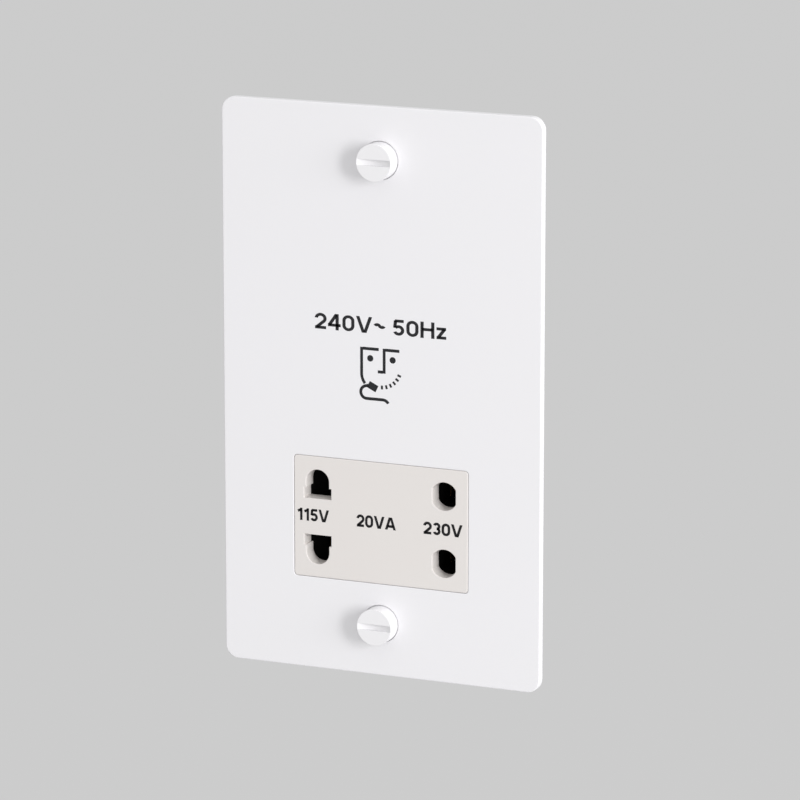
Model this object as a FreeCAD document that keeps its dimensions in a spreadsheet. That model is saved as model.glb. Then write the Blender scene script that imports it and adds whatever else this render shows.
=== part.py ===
"""Dual-voltage shaver supply unit on a flat metal plate, as a parametric document in millimetres.

The origin is the middle of the plate on the wall plane. +Z is up, the front faces -Y, and everything behind
the wall plane has a positive y.
"""
import FreeCAD, Part
import math
import os
import re
import Sketcher

Vector = FreeCAD.Vector
doc = FreeCAD.newDocument("shaver_socket")
dims = doc.addObject("Spreadsheet::Sheet", "dims")

# Driving sizes: alias, value, meaning
SIZES = [
    ("plate_border", 8.4, "plate beyond each side of the moulding's flange"),
    ("plate_margin", 13.7, "plate beyond each fixing screw's centre"),
    ("plate_thick", 2.0, "metal plate"),
    ("plate_corner", 3.5, "corner radius in the plate's plane"),
    ("plate_edge", 0.35, "rounding of the painted outer edges"),
    ("gasket_thick", 0.8, "seal between plate and wall"),
    ("gasket_inset", 1.0, "seal back from the plate's edge"),
    ("gasket_band", 6.0, "width of the seal above and below"),
    ("gasket_gap", 1.4, "seal beside the flange of the moulding"),
    ("gasket_corner", 4.0, "inner corner of the seal"),
    ("fixing_pitch", 120.6, "centres of the two fixing screws"),
    ("fixing_hole", 4.1, "clearance hole in the plate"),
    ("head_dia", 9.6, "coin-slot screw head"),
    ("head_height", 4.25, "head above the plate"),
    ("head_edge", 0.15, "rounding of the head's rim"),
    ("head_sink", 0.6, "head's seat below the plate's face"),
    ("head_gap", 0.2, "shadow gap round the head in its seat"),
    ("coin_slot_width", 1.65, "slot across the head"),
    ("coin_slot_length", 9.2, "slot on the face of the head"),
    ("coin_slot_depth", 1.1, "slot depth in the middle"),
    ("neck_dia", 2.8, "reduced neck that makes the screw captive"),
    ("neck_fit", 0.1, "retainer's radial clearance on the neck"),
    ("thread_dia", 3.5, "fixing screw thread"),
    ("thread_reach", 25.0, "screw beyond the wall plane"),
    ("thread_tip", 0.5, "chamfer on the screw's end"),
    ("retainer_dia", 8.0, "captive washer"),
    ("window_width", 48.6, "opening in the plate"),
    ("window_height", 32.1, "opening in the plate"),
    ("window_corner", 1.0, "corner radius of the opening"),
    ("window_edge", 0.2, "rounding of the painted edge round the opening"),
    ("window_drop", 33.8, "opening's centre below the plate's centre"),
    ("window_gap", 0.08, "shadow gap round the insert"),
    ("insert_edge", 0.3, "rounding of the insert's face"),
    ("face_wall", 2.0, "front wall and side walls of the insert"),
    ("cover_thick", 2.2, "flange behind the plate"),
    ("cover_corner", 4.0, "flange corners"),
    ("cover_lip", 1.0, "flange beyond the case, above and below"),
    ("hole_depth", 4.3, "depth of the pin holes"),
    ("hole_edge", 0.2, "rounding of the pin holes' mouths"),
    ("shroud_wall", 1.4, "wall of the collar behind each pin hole"),
    ("outlet_pitch", 35.2, "centres of the two outlets"),
    ("hole_outer", 12.5, "far end of a pin hole from the outlet's mid-line"),
    ("arch_inner", 4.8, "near end of a 115 V hole"),
    ("arch_width", 6.4, "arched part of a 115 V hole"),
    ("blade_width", 7.6, "flat-blade part of a 115 V hole"),
    ("blade_height", 2.85, "flat-blade part of a 115 V hole"),
    ("round_inner", 5.1, "near end of a 230 V hole"),
    ("round_flats", 6.4, "230 V hole across its flats"),
    ("slide_clear", 0.3, "running clearance of the shutter"),
    ("shutter_thick", 4.0, "shutter slide"),
    ("shutter_stroke", 3.5, "travel each way"),
    ("shutter_border", 1.5, "material round the shutter's openings"),
    ("shutter_corner", 1.0, "shutter corners"),
    ("pin_clear", 0.3, "openings behind the face beyond the pin holes"),
    ("spring_dia", 3.6, "centring spring, outside"),
    ("spring_wire", 0.45, "spring wire"),
    ("spring_length", 15.0, "spring as fitted"),
    ("spring_turns", 6.0, "turns"),
    ("spring_room", 0.3, "groove beyond the spring, all round"),
    ("carrier_wall", 2.6, "front wall of the contact carrier"),
    ("rail_thick", 1.4, "guide rails above and below the shutter"),
    ("carrier_clear", 0.5, "carrier to the case, each side"),
    ("pocket_wall", 1.2, "contact chimney wall"),
    ("pocket_width", 9.0, "inside of a chimney"),
    ("pocket_height", 8.6, "inside of a chimney"),
    ("pocket_depth", 10.6, "chimney length"),
    ("pin_offset", 8.75, "contact centre from the outlet's mid-line"),
    ("contact_height", 5.6, "contact strip width"),
    ("contact_strip", 0.5, "contact strip thickness"),
    ("contact_throat", 1.7, "half opening at the grip"),
    ("contact_mouth", 2.8, "half opening at the flared lead-in"),
    ("contact_base", 2.4, "half width inside the bend"),
    ("contact_flare", 2.2, "length of the lead-in"),
    ("contact_reach", 8.2, "length of the contact along the pin"),
    ("tail_width", 2.0, "solder tail"),
    ("board_thick", 1.6, "circuit board"),
    ("board_space", 2.2, "room behind the board for joints"),
    ("board_core_gap", 3.5, "board's top edge below the core"),
    ("board_hole_fit", 0.15, "clearance round what is soldered in"),
    ("joint_proud", 1.2, "tails and pins beyond the board"),
    ("cutout_width", 11.0, "thermal cut-out"),
    ("cutout_height", 6.0, "thermal cut-out"),
    ("cutout_depth", 5.0, "thermal cut-out"),
    ("cutout_side", 14.0, "cut-out from the centre line"),
    ("cutout_drop", 8.0, "cut-out's centre below the board's top edge"),
    ("cutout_lead", 0.8, "cut-out leads"),
    ("core_leg", 18.0, "centre leg of the lamination"),
    ("core_side", 9.0, "outer legs and yokes"),
    ("core_window", 9.0, "winding window across"),
    ("core_window_length", 27.0, "winding window along the leg"),
    ("core_stack", 18.0, "stack of laminations"),
    ("core_clear", 0.3, "core to the case, each side"),
    ("core_lift", 22.3, "core above the contact carrier"),
    ("coil_overhang", 7.9, "winding beyond the stack, front and back"),
    ("coil_clear", 0.4, "winding to the case, front and back"),
    ("bobbin_wall", 0.9, "tube and flanges"),
    ("bobbin_clear", 0.2, "bobbin in the core's windows"),
    ("winding_inset", 0.8, "winding inside the flanges' edge"),
    ("winding_corner", 3.0, "rounding of the winding"),
    ("winding_fit", 0.1, "winding on the tube"),
    ("pin_rail_height", 3.0, "pin rail below the lower flange"),
    ("pin_rail_depth", 6.4, "pin rail behind the core"),
    ("lead_size", 0.8, "square bobbin pins"),
    ("lead_pitch", 8.0, "bobbin pins"),
    ("lead_count", 5.0, "bobbin pins"),
    ("lead_drop", 3.0, "pins below the board's top edge"),
    ("housing_wall", 1.8, "case wall"),
    ("housing_round", 2.6, "case edges"),
    ("bottom_room", 1.4, "carrier to the case's floor"),
    ("top_room", 1.7, "core to the case's ceiling"),
    ("step_level", 3.8, "case's step above the contact carrier"),
    ("rib_thick", 1.6, "ribs inside the case"),
    ("post_dia", 5.0, "posts that hold the core and the board"),
    ("vent_width", 22.0, "ventilation slots"),
    ("vent_height", 1.4, "ventilation slots"),
    ("vent_pitch", 4.0, "ventilation slots"),
    ("vent_count", 6.0, "ventilation slots"),
    ("stud_dia", 3.0, "weld studs on the plate"),
    ("stud_gap", 3.5, "stud's centre from the case"),
    ("stud_edge", 3.0, "flange beyond the stud's centre"),
    ("stud_inset", 7.0, "studs from the flange's ends"),
    ("stud_fit", 0.15, "radial clearance of the stud holes"),
    ("stud_past", 1.0, "stud beyond its nut"),
    ("ear_thick", 3.0, "ears of the case"),
    ("nut_across", 5.5, "nut across flats"),
    ("nut_height", 2.4, "nut"),
    ("nut_fit", 0.05, "nut on the stud"),
    ("block_width", 46.0, "terminal block base"),
    ("block_height", 22.0, "terminal block base"),
    ("block_base", 2.5, "terminal block base"),
    ("block_wall", 1.6, "partitions of the terminal block"),
    ("block_depth", 9.5, "partitions beyond the base"),
    ("block_corner", 2.0, "terminal block corners"),
    ("block_drop", 36.0, "terminal block's centre below the plate's"),
    ("block_screw_inset", 4.0, "block screws from the base's ends"),
    ("block_screw_dia", 2.6, "block screw shank"),
    ("block_screw_head", 5.0, "block screw head"),
    ("block_screw_rise", 1.8, "block screw head height"),
    ("block_screw_fit", 0.1, "block screw in its hole"),
    ("block_screw_past", 0.8, "block screw beyond the case wall"),
    ("terminal_pitch", 13.0, "supply terminals"),
    ("clamp_width", 8.4, "brass clamp across"),
    ("clamp_height", 9.0, "brass clamp along the wire"),
    ("clamp_depth", 8.6, "brass clamp depth"),
    ("clamp_edge", 0.5, "chamfer of the clamp"),
    ("wire_bore", 4.0, "hole for the supply wire"),
    ("wire_offset", 3.6, "wire's centre above the clamp's base"),
    ("clamp_screw_dia", 3.0, "terminal screw"),
    ("clamp_screw_fit", 0.05, "terminal screw in its hole"),
    ("clamp_screw_head", 5.0, "terminal screw head"),
    ("clamp_screw_rise", 1.8, "terminal screw head height"),
    ("clamp_screw_slot", 0.9, "driver slot"),
    ("clamp_screw_cut", 0.9, "driver slot depth"),
    ("clamp_screw_stop", 0.3, "terminal screw's tip from the wire's hole"),
    ("leg_width", 1.6, "terminal's solder leg"),
    ("leg_thick", 0.8, "terminal's solder leg"),
    ("leg_fit", 0.3, "clearance round the leg in the mouldings"),
    ("earth_side", 24.0, "earth terminal from the centre line"),
]
ALIASES = {alias for alias, value, meaning in SIZES}

for row, (alias, value, meaning) in enumerate(SIZES, start=1):
    dims.set("A%d" % row, meaning)
    dims.set("B%d" % row, repr(value))
    dims.setAlias("B%d" % row, alias)
doc.recompute()

# Planes and places that several pieces share, as expressions in the driving sizes
BACK = "(-gasket_thick)"
FRONT = "(%s - plate_thick)" % BACK
PLATE_HEIGHT = "(fixing_pitch + 2 * plate_margin)"
COVER_REAR = "(%s + cover_thick)" % BACK
SHUT_FRONT = "(%s + hole_depth + slide_clear)" % FRONT
SHUT_REAR = "(%s + shutter_thick)" % SHUT_FRONT
CARRIER_FRONT = "(%s + slide_clear)" % SHUT_REAR
CARRIER_IN = "(%s + carrier_wall)" % CARRIER_FRONT
BOARD_FRONT = "(%s + pocket_depth)" % CARRIER_IN
BOARD_REAR = "(%s + board_thick)" % BOARD_FRONT
STEP_IN = "(%s + board_space)" % BOARD_REAR
STEP_OUT = "(%s + housing_wall)" % STEP_IN
SPRING_Y = "(%s + slide_clear / 2)" % SHUT_REAR
GROOVE = "(spring_dia / 2 + spring_room)"

SOCKET_Z = "(-window_drop)"
OUTLET_X = "(outlet_pitch / 2)"
SHUT_HALF_W = "(outlet_pitch / 2 + blade_width / 2 + pin_clear + shutter_border)"
SHUT_HALF_H = "(hole_outer + pin_clear + shutter_border)"
RAIL_IN = "(%s + slide_clear)" % SHUT_HALF_H
RAIL_OUT = "(%s + rail_thick)" % RAIL_IN
CARRIER_TOP = "(%s + %s)" % (SOCKET_Z, RAIL_OUT)

CORE_WIDTH = "(core_leg + 2 * core_window + 2 * core_side)"
CORE_HEIGHT = "(core_window_length + 2 * core_side)"
CORE_BOTTOM = "(%s + core_lift)" % CARRIER_TOP
CORE_TOP = "(%s + %s)" % (CORE_BOTTOM, CORE_HEIGHT)
LEG_BOTTOM = "(%s + core_side)" % CORE_BOTTOM
LEG_TOP = "(%s + core_window_length)" % LEG_BOTTOM
COIL_HALF = "(core_stack / 2 + coil_overhang)"
CORE_MID = "(%s + coil_clear + %s)" % (COVER_REAR, COIL_HALF)
CORE_FRONT = "(%s - core_stack / 2)" % CORE_MID
CORE_REAR = "(%s + core_stack / 2)" % CORE_MID
SIDE_LEG_X = "(core_leg / 2 + core_window + core_side / 2)"

CASE_HALF_IN = "(%s / 2 + core_clear)" % CORE_WIDTH
CASE_HALF = "(%s + housing_wall)" % CASE_HALF_IN
CASE_BOTTOM_IN = "(%s - %s - bottom_room)" % (SOCKET_Z, RAIL_OUT)
CASE_BOTTOM = "(%s - housing_wall)" % CASE_BOTTOM_IN
CASE_TOP_IN = "(%s + top_room)" % CORE_TOP
CASE_TOP = "(%s + housing_wall)" % CASE_TOP_IN
CASE_REAR_IN = "(%s + %s + coil_clear)" % (CORE_MID, COIL_HALF)
CASE_REAR = "(%s + housing_wall)" % CASE_REAR_IN
STEP_Z = "(%s + step_level)" % CARRIER_TOP
COVER_TOP = "(%s + cover_lip)" % CASE_TOP
COVER_BOTTOM = "(%s - cover_lip)" % CASE_BOTTOM
STUD_X = "(%s + stud_gap)" % CASE_HALF
STUD_TOP = "(%s - stud_inset)" % COVER_TOP
STUD_BOTTOM = "(%s + stud_inset)" % COVER_BOTTOM
EAR_REAR = "(%s + ear_thick)" % COVER_REAR
COVER_HALF = "(%s + stud_edge)" % STUD_X
PLATE_WIDTH = "(2 * (%s + plate_border))" % COVER_HALF
SEAL_IN = "(%s + gasket_gap)" % COVER_HALF

BOARD_TOP = "(%s - board_core_gap)" % CORE_BOTTOM
BOARD_BOTTOM = "(%s + carrier_clear)" % CASE_BOTTOM_IN
BOARD_HALF = "(%s - carrier_clear)" % CASE_HALF_IN
LEAD_Z = "(%s - lead_drop)" % BOARD_TOP
LEAD_Y = "(%s + core_clear + pin_rail_depth / 2)" % CORE_REAR
CUTOUT_Z = "(%s - cutout_drop)" % BOARD_TOP

BLOCK_Z = "(-block_drop)"
BLOCK_FACE = "(%s + block_base)" % STEP_OUT
CLAMP_X = "(terminal_pitch / 2)"
BLOCK_SCREW_X = "(block_width / 2 - block_screw_inset)"
BLOCK_SCREW_HOLE = "(block_screw_dia + 2 * block_screw_fit)"
LEG_END = "(%s - joint_proud)" % BOARD_FRONT
EARTH_Z = "(fixing_pitch / 2)"


def ex(text):
    """An expression with every driving size written as a reference to its cell."""
    def cell(hit):
        word = hit.group(0)
        return "dims." + word if word in ALIASES else word

    return re.sub(r"[a-z][a-z_0-9]*", cell, str(text))


def num(text):
    """The present value of an expression."""
    return float(dims.evalExpression(str(text)))


def body(label):
    """A new part body; its label names the piece."""
    made = doc.addObject("PartDesign::Body", label)
    made.Label = label
    return made


def sketch(owner, plane, level="0", across="0", up="0"):
    """A sketch on one of the body's own planes, moved to a level along y (XZ), z (XY) or x (YZ).

    The sketch's axes are x and z on XZ, x and y on XY, y and z on YZ.
    """
    made = owner.newObject("Sketcher::SketchObject", "Sketch")
    support = [f for f in owner.Origin.OriginFeatures if f.Role == plane + "_Plane"][0]
    made.AttachmentSupport = [(support, "")]
    made.MapMode = "FlatFace"
    made.setExpression("AttachmentOffset.Base.x", ex(across))
    made.setExpression("AttachmentOffset.Base.y", ex(up))
    made.setExpression("AttachmentOffset.Base.z", ex("-(%s)" % level if plane == "XZ" else level))
    return made


def bind(made, kind, *where):
    """Adds a sketch constraint whose last argument is an expression."""
    index = made.addConstraint(Sketcher.Constraint(kind, *where[:-1], num(where[-1])))
    made.setExpression("Constraints[%d]" % index, ex(where[-1]))


def outline(made, points):
    """A closed outline through points (x, y), each held to the sketch's origin.

    A point may carry a third item, the centre (x, y) of an arc that runs counter-clockwise to the next
    point and whose chord is level.
    """
    place = [Vector(num(p[0]), num(p[1]), 0) for p in points]
    ends = []
    for i, point in enumerate(points):
        start, stop = place[i], place[(i + 1) % len(points)]
        if len(point) == 3:
            middle = Vector(num(point[2][0]), num(point[2][1]), 0)
            ring = Part.Circle(middle, Vector(0, 0, 1), (start - middle).Length)
            curve = Part.ArcOfCircle(ring, ring.parameter(start), ring.parameter(stop))
        else:
            curve = Part.LineSegment(start, stop)
        ends.append(made.addGeometry(curve, False))
    for i in range(len(points)):
        made.addConstraint(Sketcher.Constraint("Coincident", ends[i], 2, ends[(i + 1) % len(points)], 1))
    for i, point in enumerate(points):
        bind(made, "DistanceX", -1, 1, ends[i], 1, point[0])
        bind(made, "DistanceY", -1, 1, ends[i], 1, point[1])
        if len(point) == 3:
            bind(made, "DistanceY", -1, 1, ends[i], 3, point[2][1])
    return made


def rectangle(made, left, right, bottom, top):
    """A rectangle between four expressions."""
    return outline(made, [(left, bottom), (right, bottom), (right, top), (left, top)])


def centred(made, width, height):
    """A rectangle centred on the sketch's origin."""
    return rectangle(made, "-(%s)/2" % width, "(%s)/2" % width, "-(%s)/2" % height, "(%s)/2" % height)


def circle(made, diameter, across="0", up="0"):
    """A circle in a sketch."""
    ring = Part.Circle(Vector(num(across), num(up), 0), Vector(0, 0, 1), num(diameter) / 2)
    index = made.addGeometry(ring, False)
    bind(made, "Diameter", index, diameter)
    bind(made, "DistanceX", -1, 1, index, 3, across)
    bind(made, "DistanceY", -1, 1, index, 3, up)
    return made


def pad(owner, profile, length, both=False):
    """Material from the sketch towards larger y, z or x, or evenly both ways."""
    made = owner.newObject("PartDesign::Pad", "Pad")
    made.Profile = profile
    made.setExpression("Length", ex(length))
    made.Midplane = both
    made.Reversed = profile.AttachmentSupport[0][0].Role == "XZ_Plane"
    doc.recompute()
    return made


def cut(owner, profile, length, both=False):
    """Material removed from the sketch towards larger y, z or x, or evenly both ways.

    It stops the build if it removes nothing.
    """
    before = owner.Shape.Volume
    made = owner.newObject("PartDesign::Pocket", "Pocket")
    made.Profile = profile
    made.setExpression("Length", ex(length))
    made.Midplane = both
    made.Reversed = profile.AttachmentSupport[0][0].Role != "XZ_Plane"
    doc.recompute()
    if not owner.Shape.Volume < before - 1e-6:
        raise RuntimeError("a cut in %s removed nothing" % owner.Label)
    return made


def revolve(owner, profile):
    """A full turn about the sketch's vertical axis."""
    made = owner.newObject("PartDesign::Revolution", "Revolution")
    made.Profile = profile
    made.ReferenceAxis = (profile, ["V_Axis"])
    made.Angle = 360.0
    doc.recompute()
    return made


def rounded(owner, radius, wanted, kind="Fillet"):
    """Rounds or chamfers the edges of the body's tip that the test accepts."""
    base = owner.Tip
    names = ["Edge%d" % i for i, edge in enumerate(base.Shape.Edges, start=1) if wanted(edge)]
    if not names:
        raise RuntimeError("no edge to round on %s" % owner.Label)
    made = owner.newObject("PartDesign::" + kind, kind)
    made.Base = (base, names)
    made.setExpression("Radius" if kind == "Fillet" else "Size", ex(radius))
    doc.recompute()
    return made


def repeated(owner, feature, axis, length, count):
    """A row of copies of a feature along one of the body's axes."""
    made = owner.newObject("PartDesign::LinearPattern", "LinearPattern")
    made.Originals = [feature]
    direction = [f for f in owner.Origin.OriginFeatures if f.Role == axis + "_Axis"][0]
    made.Direction = (direction, [""])
    made.setExpression("Length", ex(length))
    made.setExpression("Occurrences", ex(count))
    owner.Tip = made
    doc.recompute()
    return made


def near(value, text, room=1e-4):
    """Whether a number equals an expression's value."""
    return abs(value - num(text)) < room


def along(axis, inside=None):
    """A test for straight edges along an axis, with an optional test of the edge's middle."""
    def wanted(edge):
        box = edge.BoundBox
        spans = {"X": box.XLength, "Y": box.YLength, "Z": box.ZLength}
        long_one = spans.pop(axis)
        straight = long_one > 1e-4 and max(spans.values()) < 1e-4
        return straight and (inside is None or inside(box.Center))
    return wanted


def at_level(axis, text, inside=None):
    """A test for edges that lie in a plane across an axis, with an optional test of the edge's box."""
    def wanted(edge):
        box = edge.BoundBox
        low = {"X": box.XMin, "Y": box.YMin, "Z": box.ZMin}[axis]
        high = {"X": box.XMax, "Y": box.YMax, "Z": box.ZMax}[axis]
        return near(low, text) and near(high, text) and (inside is None or inside(box))
    return wanted


def group(label, members):
    """Several separate solids as one piece."""
    made = doc.addObject("Part::Compound", label)
    made.Label = label
    made.Links = members
    return made


pieces = []

# Painted steel plate: window for the insert, two fixing holes with the heads' seats, rounded painted edges
plate = body("front_plate")
pad(plate, centred(sketch(plate, "XZ", FRONT), PLATE_WIDTH, PLATE_HEIGHT), "plate_thick")
rounded(plate, "plate_corner", along("Y"))
cut(plate, centred(sketch(plate, "XZ", FRONT, up=SOCKET_Z), "window_width", "window_height"), "plate_thick")
rounded(plate, "window_corner", along("Y", lambda c: abs(c.x) < num("window_width / 2") + 0.01))


def round_the_window(box):
    """Whether an edge's box lies round the opening, well inside the plate's outline."""
    return max(abs(box.XMin), abs(box.XMax)) < num("window_width / 2") + 0.01


rounded(plate, "plate_edge", at_level("Y", FRONT, lambda box: not round_the_window(box)))
rounded(plate, "window_edge", at_level("Y", FRONT, round_the_window))
seats = sketch(plate, "XZ", FRONT)
holes = sketch(plate, "XZ", FRONT)
for level in ("fixing_pitch / 2", "-fixing_pitch / 2"):
    circle(seats, "head_dia + 2 * head_gap", "0", level)
    circle(holes, "fixing_hole", "0", level)
cut(plate, seats, "head_sink")
cut(plate, holes, "plate_thick")
pieces.append(plate)

# Seal round the back of the plate, which meets the wall
seal = body("wall_gasket")
seal_outer = sketch(seal, "XZ", BACK)
centred(seal_outer, PLATE_WIDTH + " - 2 * gasket_inset", PLATE_HEIGHT + " - 2 * gasket_inset")
pad(seal, seal_outer, "gasket_thick")
rounded(seal, "plate_corner - gasket_inset", along("Y"))
seal_inner = sketch(seal, "XZ", BACK)
centred(seal_inner, "2 * " + SEAL_IN, PLATE_HEIGHT + " - 2 * (gasket_inset + gasket_band)")
cut(seal, seal_inner, "gasket_thick")
rounded(seal, "gasket_corner", along("Y", lambda c: abs(c.x) < num(SEAL_IN) + 0.01))
pieces.append(seal)

# Two coin-slot fixing screws: turned profile with a thin neck, and the washers that keep them captive
HEAD_FRONT = "(%s - head_height)" % FRONT
HEAD_SEAT = "(%s + head_sink)" % FRONT
CUTTER = "((coin_slot_length ^ 2 / 4 + coin_slot_depth ^ 2) / (2 * coin_slot_depth))"
for name, level in (("top", "fixing_pitch / 2"), ("bottom", "-fixing_pitch / 2")):
    screw = body("fixing_screw_" + name)
    turned = sketch(screw, "XY", level)
    outline(turned, [
        ("0", HEAD_FRONT), ("head_dia / 2", HEAD_FRONT), ("head_dia / 2", HEAD_SEAT),
        ("neck_dia / 2", HEAD_SEAT), ("neck_dia / 2", "0"),
        ("thread_dia / 2", "0"), ("thread_dia / 2", "thread_reach - thread_tip"),
        ("thread_dia / 2 - thread_tip", "thread_reach"), ("0", "thread_reach"),
    ])
    revolve(screw, turned)
    rounded(screw, "head_edge", at_level("Y", HEAD_FRONT))
    # A round cutter leaves a slot that is deepest in the middle and ends short of the rim, as a coin needs
    coin_slot = sketch(screw, "XY", level)
    circle(coin_slot, "2 * " + CUTTER, "0", "%s + coin_slot_depth - %s" % (HEAD_FRONT, CUTTER))
    cut(screw, coin_slot, "coin_slot_width", both=True)
    pieces.append(screw)

    washer = body("screw_retainer_" + name)
    ring = sketch(washer, "XZ", BACK)
    circle(ring, "retainer_dia", "0", level)
    circle(ring, "neck_dia + 2 * neck_fit", "0", level)
    pad(washer, ring, "gasket_thick")
    pieces.append(washer)


def pin_holes(made, grow):
    """The four pin holes' outlines, each grown by a margin.

    Those on the left are an arch on a flat blade's slot, those on the right are round with a flat each side.
    """
    for sign in ("", "-"):
        arch = "(arch_width / 2 + %s)" % grow
        blade = "(blade_width / 2 + %s)" % grow
        centre = "(hole_outer - arch_width / 2)"
        low = "(arch_inner - %s)" % grow
        shelf = "(arch_inner + blade_height + %s)" % grow
        points = [
            ("-%s - %s" % (OUTLET_X, blade), low), ("-%s + %s" % (OUTLET_X, blade), low),
            ("-%s + %s" % (OUTLET_X, blade), shelf), ("-%s + %s" % (OUTLET_X, arch), shelf),
            ("-%s + %s" % (OUTLET_X, arch), centre, ("-" + OUTLET_X, centre)),
            ("-%s - %s" % (OUTLET_X, arch), centre), ("-%s - %s" % (OUTLET_X, arch), shelf),
            ("-%s - %s" % (OUTLET_X, blade), shelf),
        ]
        half = "(round_flats / 2 + %s)" % grow
        middle = "((round_inner + hole_outer) / 2)"
        rise = "sqrt(((hole_outer - round_inner) / 2 + %s) ^ 2 - %s ^ 2)" % (grow, half)
        left, right = "%s - %s" % (OUTLET_X, half), "%s + %s" % (OUTLET_X, half)
        flat_low, flat_high = "(%s - %s)" % (middle, rise), "(%s + %s)" % (middle, rise)
        flatted = [
            (left, flat_low, (OUTLET_X, middle)), (right, flat_low),
            (right, flat_high, (OUTLET_X, middle)), (left, flat_high),
        ]
        for points_up in (points, flatted):
            if sign:
                # the lower holes are the upper ones turned over, so they run the other way round
                turned_over = []
                count = len(points_up)
                for i in range(count):
                    here = points_up[(count - i) % count]
                    before = points_up[(count - i - 1) % count]
                    flipped = [here[0], "-" + here[1]]
                    if len(before) == 3:
                        flipped.append((before[2][0], "-" + before[2][1]))
                    turned_over.append(tuple(flipped))
                outline(made, turned_over)
            else:
                outline(made, points_up)
    return made


# Off-white moulding: flange behind the plate, flush face in the window, collared pin holes, core posts
front = body("socket_front")
flange = sketch(front, "XZ", BACK)
pad(front, rectangle(flange, "-" + COVER_HALF, COVER_HALF, COVER_BOTTOM, COVER_TOP), "cover_thick")
rounded(front, "cover_corner", along("Y"))
face = sketch(front, "XZ", FRONT, up=SOCKET_Z)
pad(front, centred(face, "window_width - 2 * window_gap", "window_height - 2 * window_gap"), "plate_thick")
rounded(front, "window_corner - window_gap", along("Y", lambda c: c.y < num(BACK)))
rounded(front, "insert_edge", at_level("Y", FRONT))
hollow = sketch(front, "XZ", FRONT + " + face_wall", up=SOCKET_Z)
INSET = "2 * (window_gap + face_wall)"
centred(hollow, "window_width - " + INSET, "window_height - " + INSET)
cut(front, hollow, "cover_thick + plate_thick")
collars = sketch(front, "XZ", FRONT + " + face_wall", up=SOCKET_Z)
pad(front, pin_holes(collars, "shroud_wall"), "hole_depth - face_wall")
cut(front, pin_holes(sketch(front, "XZ", FRONT, up=SOCKET_Z), "0"), "hole_depth")


def on_a_mouth(box):
    """Whether an edge's box lies well inside the flush face, as the pin holes' mouths do."""
    across = max(abs(box.XMin), abs(box.XMax))
    up = max(abs(box.ZMin - num(SOCKET_Z)), abs(box.ZMax - num(SOCKET_Z)))
    return across < num("window_width / 2 - face_wall") and up < num("window_height / 2 - face_wall")


rounded(front, "hole_edge", at_level("Y", FRONT, on_a_mouth))
studs = sketch(front, "XZ", BACK)
posts = sketch(front, "XZ", COVER_REAR)
for side in ("", "-"):
    for level in (STUD_TOP, STUD_BOTTOM):
        circle(studs, "stud_dia + 2 * stud_fit", side + STUD_X, level)
    for level in (CORE_BOTTOM + " + core_side", CORE_TOP + " - core_side"):
        circle(posts, "post_dia", side + SIDE_LEG_X, level)
cut(front, studs, "cover_thick")
pad(front, posts, "%s - %s" % (CORE_FRONT, COVER_REAR))
pieces.append(front)

# Black shutter slide: a pin's tip on a ramp drives it aside, which shuts the other outlet
slide = body("interlock_shutter")
slab = sketch(slide, "XZ", SHUT_FRONT, up=SOCKET_Z)
pad(slide, centred(slab, "2 * " + SHUT_HALF_W, "2 * " + SHUT_HALF_H), "shutter_thick")
rounded(slide, "shutter_corner", along("Y"))
FAR = "(%s + blade_width / 2 + pin_clear)" % OUTLET_X
NEAR = "(%s - blade_width / 2 - pin_clear - shutter_stroke)" % OUTLET_X
for level in (SOCKET_Z + " + arch_inner - pin_clear", SOCKET_Z + " - hole_outer - pin_clear"):
    ramps = sketch(slide, "XY", level)
    for sign in ("-", ""):
        corners = [
            (sign + FAR, SHUT_FRONT), (sign + "(%s - shutter_stroke)" % FAR, SHUT_REAR),
            (sign + NEAR, SHUT_REAR), (sign + NEAR, SHUT_FRONT),
        ]
        outline(ramps, corners)
    cut(slide, ramps, "hole_outer - arch_inner + 2 * pin_clear")
groove_depth = "(%s - slide_clear / 2)" % GROOVE
groove = sketch(slide, "XZ", "%s - %s" % (SHUT_REAR, groove_depth), up=SOCKET_Z)
cut(slide, centred(groove, "spring_length", "2 * " + GROOVE), groove_depth)
pieces.append(slide)

# Centring spring, half in the slide's groove and half in the carrier's; its wire is drawn six-sided
coil = doc.addObject("Part::Feature", "shutter_spring")
coil.Label = "shutter_spring"
mean = num("spring_dia / 2 - spring_wire / 2")
run = num("spring_length - spring_wire")
helix = Part.makeHelix(run / num("spring_turns"), run, mean)
wire = num("spring_wire / 2")
turns = [math.pi * i / 3 for i in range(7)]
corners = [Vector(mean + wire * math.cos(turn), 0, wire * math.sin(turn)) for turn in turns]
section = Part.makePolygon(corners)
coil.Shape = Part.Wire(helix.Edges).makePipeShell([section], True, True)
lying = FreeCAD.Rotation(Vector(0, 1, 0), 90)
coil.Placement = FreeCAD.Placement(Vector(-run / 2, num(SPRING_Y), num(SOCKET_Z)), lying)
pieces.append(coil)

# Contact carrier: front wall with gates for the pins, rails that guide the slide, four chimneys
carrier = body("contact_carrier")
CARRIER_HALF = "(%s - carrier_clear)" % CASE_HALF_IN
wall = sketch(carrier, "XZ", CARRIER_FRONT, up=SOCKET_Z)
pad(carrier, centred(wall, "2 * " + CARRIER_HALF, "2 * " + RAIL_OUT), "carrier_wall")
rails = sketch(carrier, "XZ", COVER_REAR, up=SOCKET_Z)
rectangle(rails, "-" + CARRIER_HALF, CARRIER_HALF, RAIL_IN, RAIL_OUT)
rectangle(rails, "-" + CARRIER_HALF, CARRIER_HALF, "-" + RAIL_OUT, "-" + RAIL_IN)
pad(carrier, rails, "%s - %s" % (CARRIER_FRONT, COVER_REAR))
chimneys = sketch(carrier, "XZ", CARRIER_IN, up=SOCKET_Z)
bores = sketch(carrier, "XZ", CARRIER_IN, up=SOCKET_Z)
gates = sketch(carrier, "XZ", CARRIER_FRONT, up=SOCKET_Z)
gate_half = "(blade_width / 2 + pin_clear)"
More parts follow.
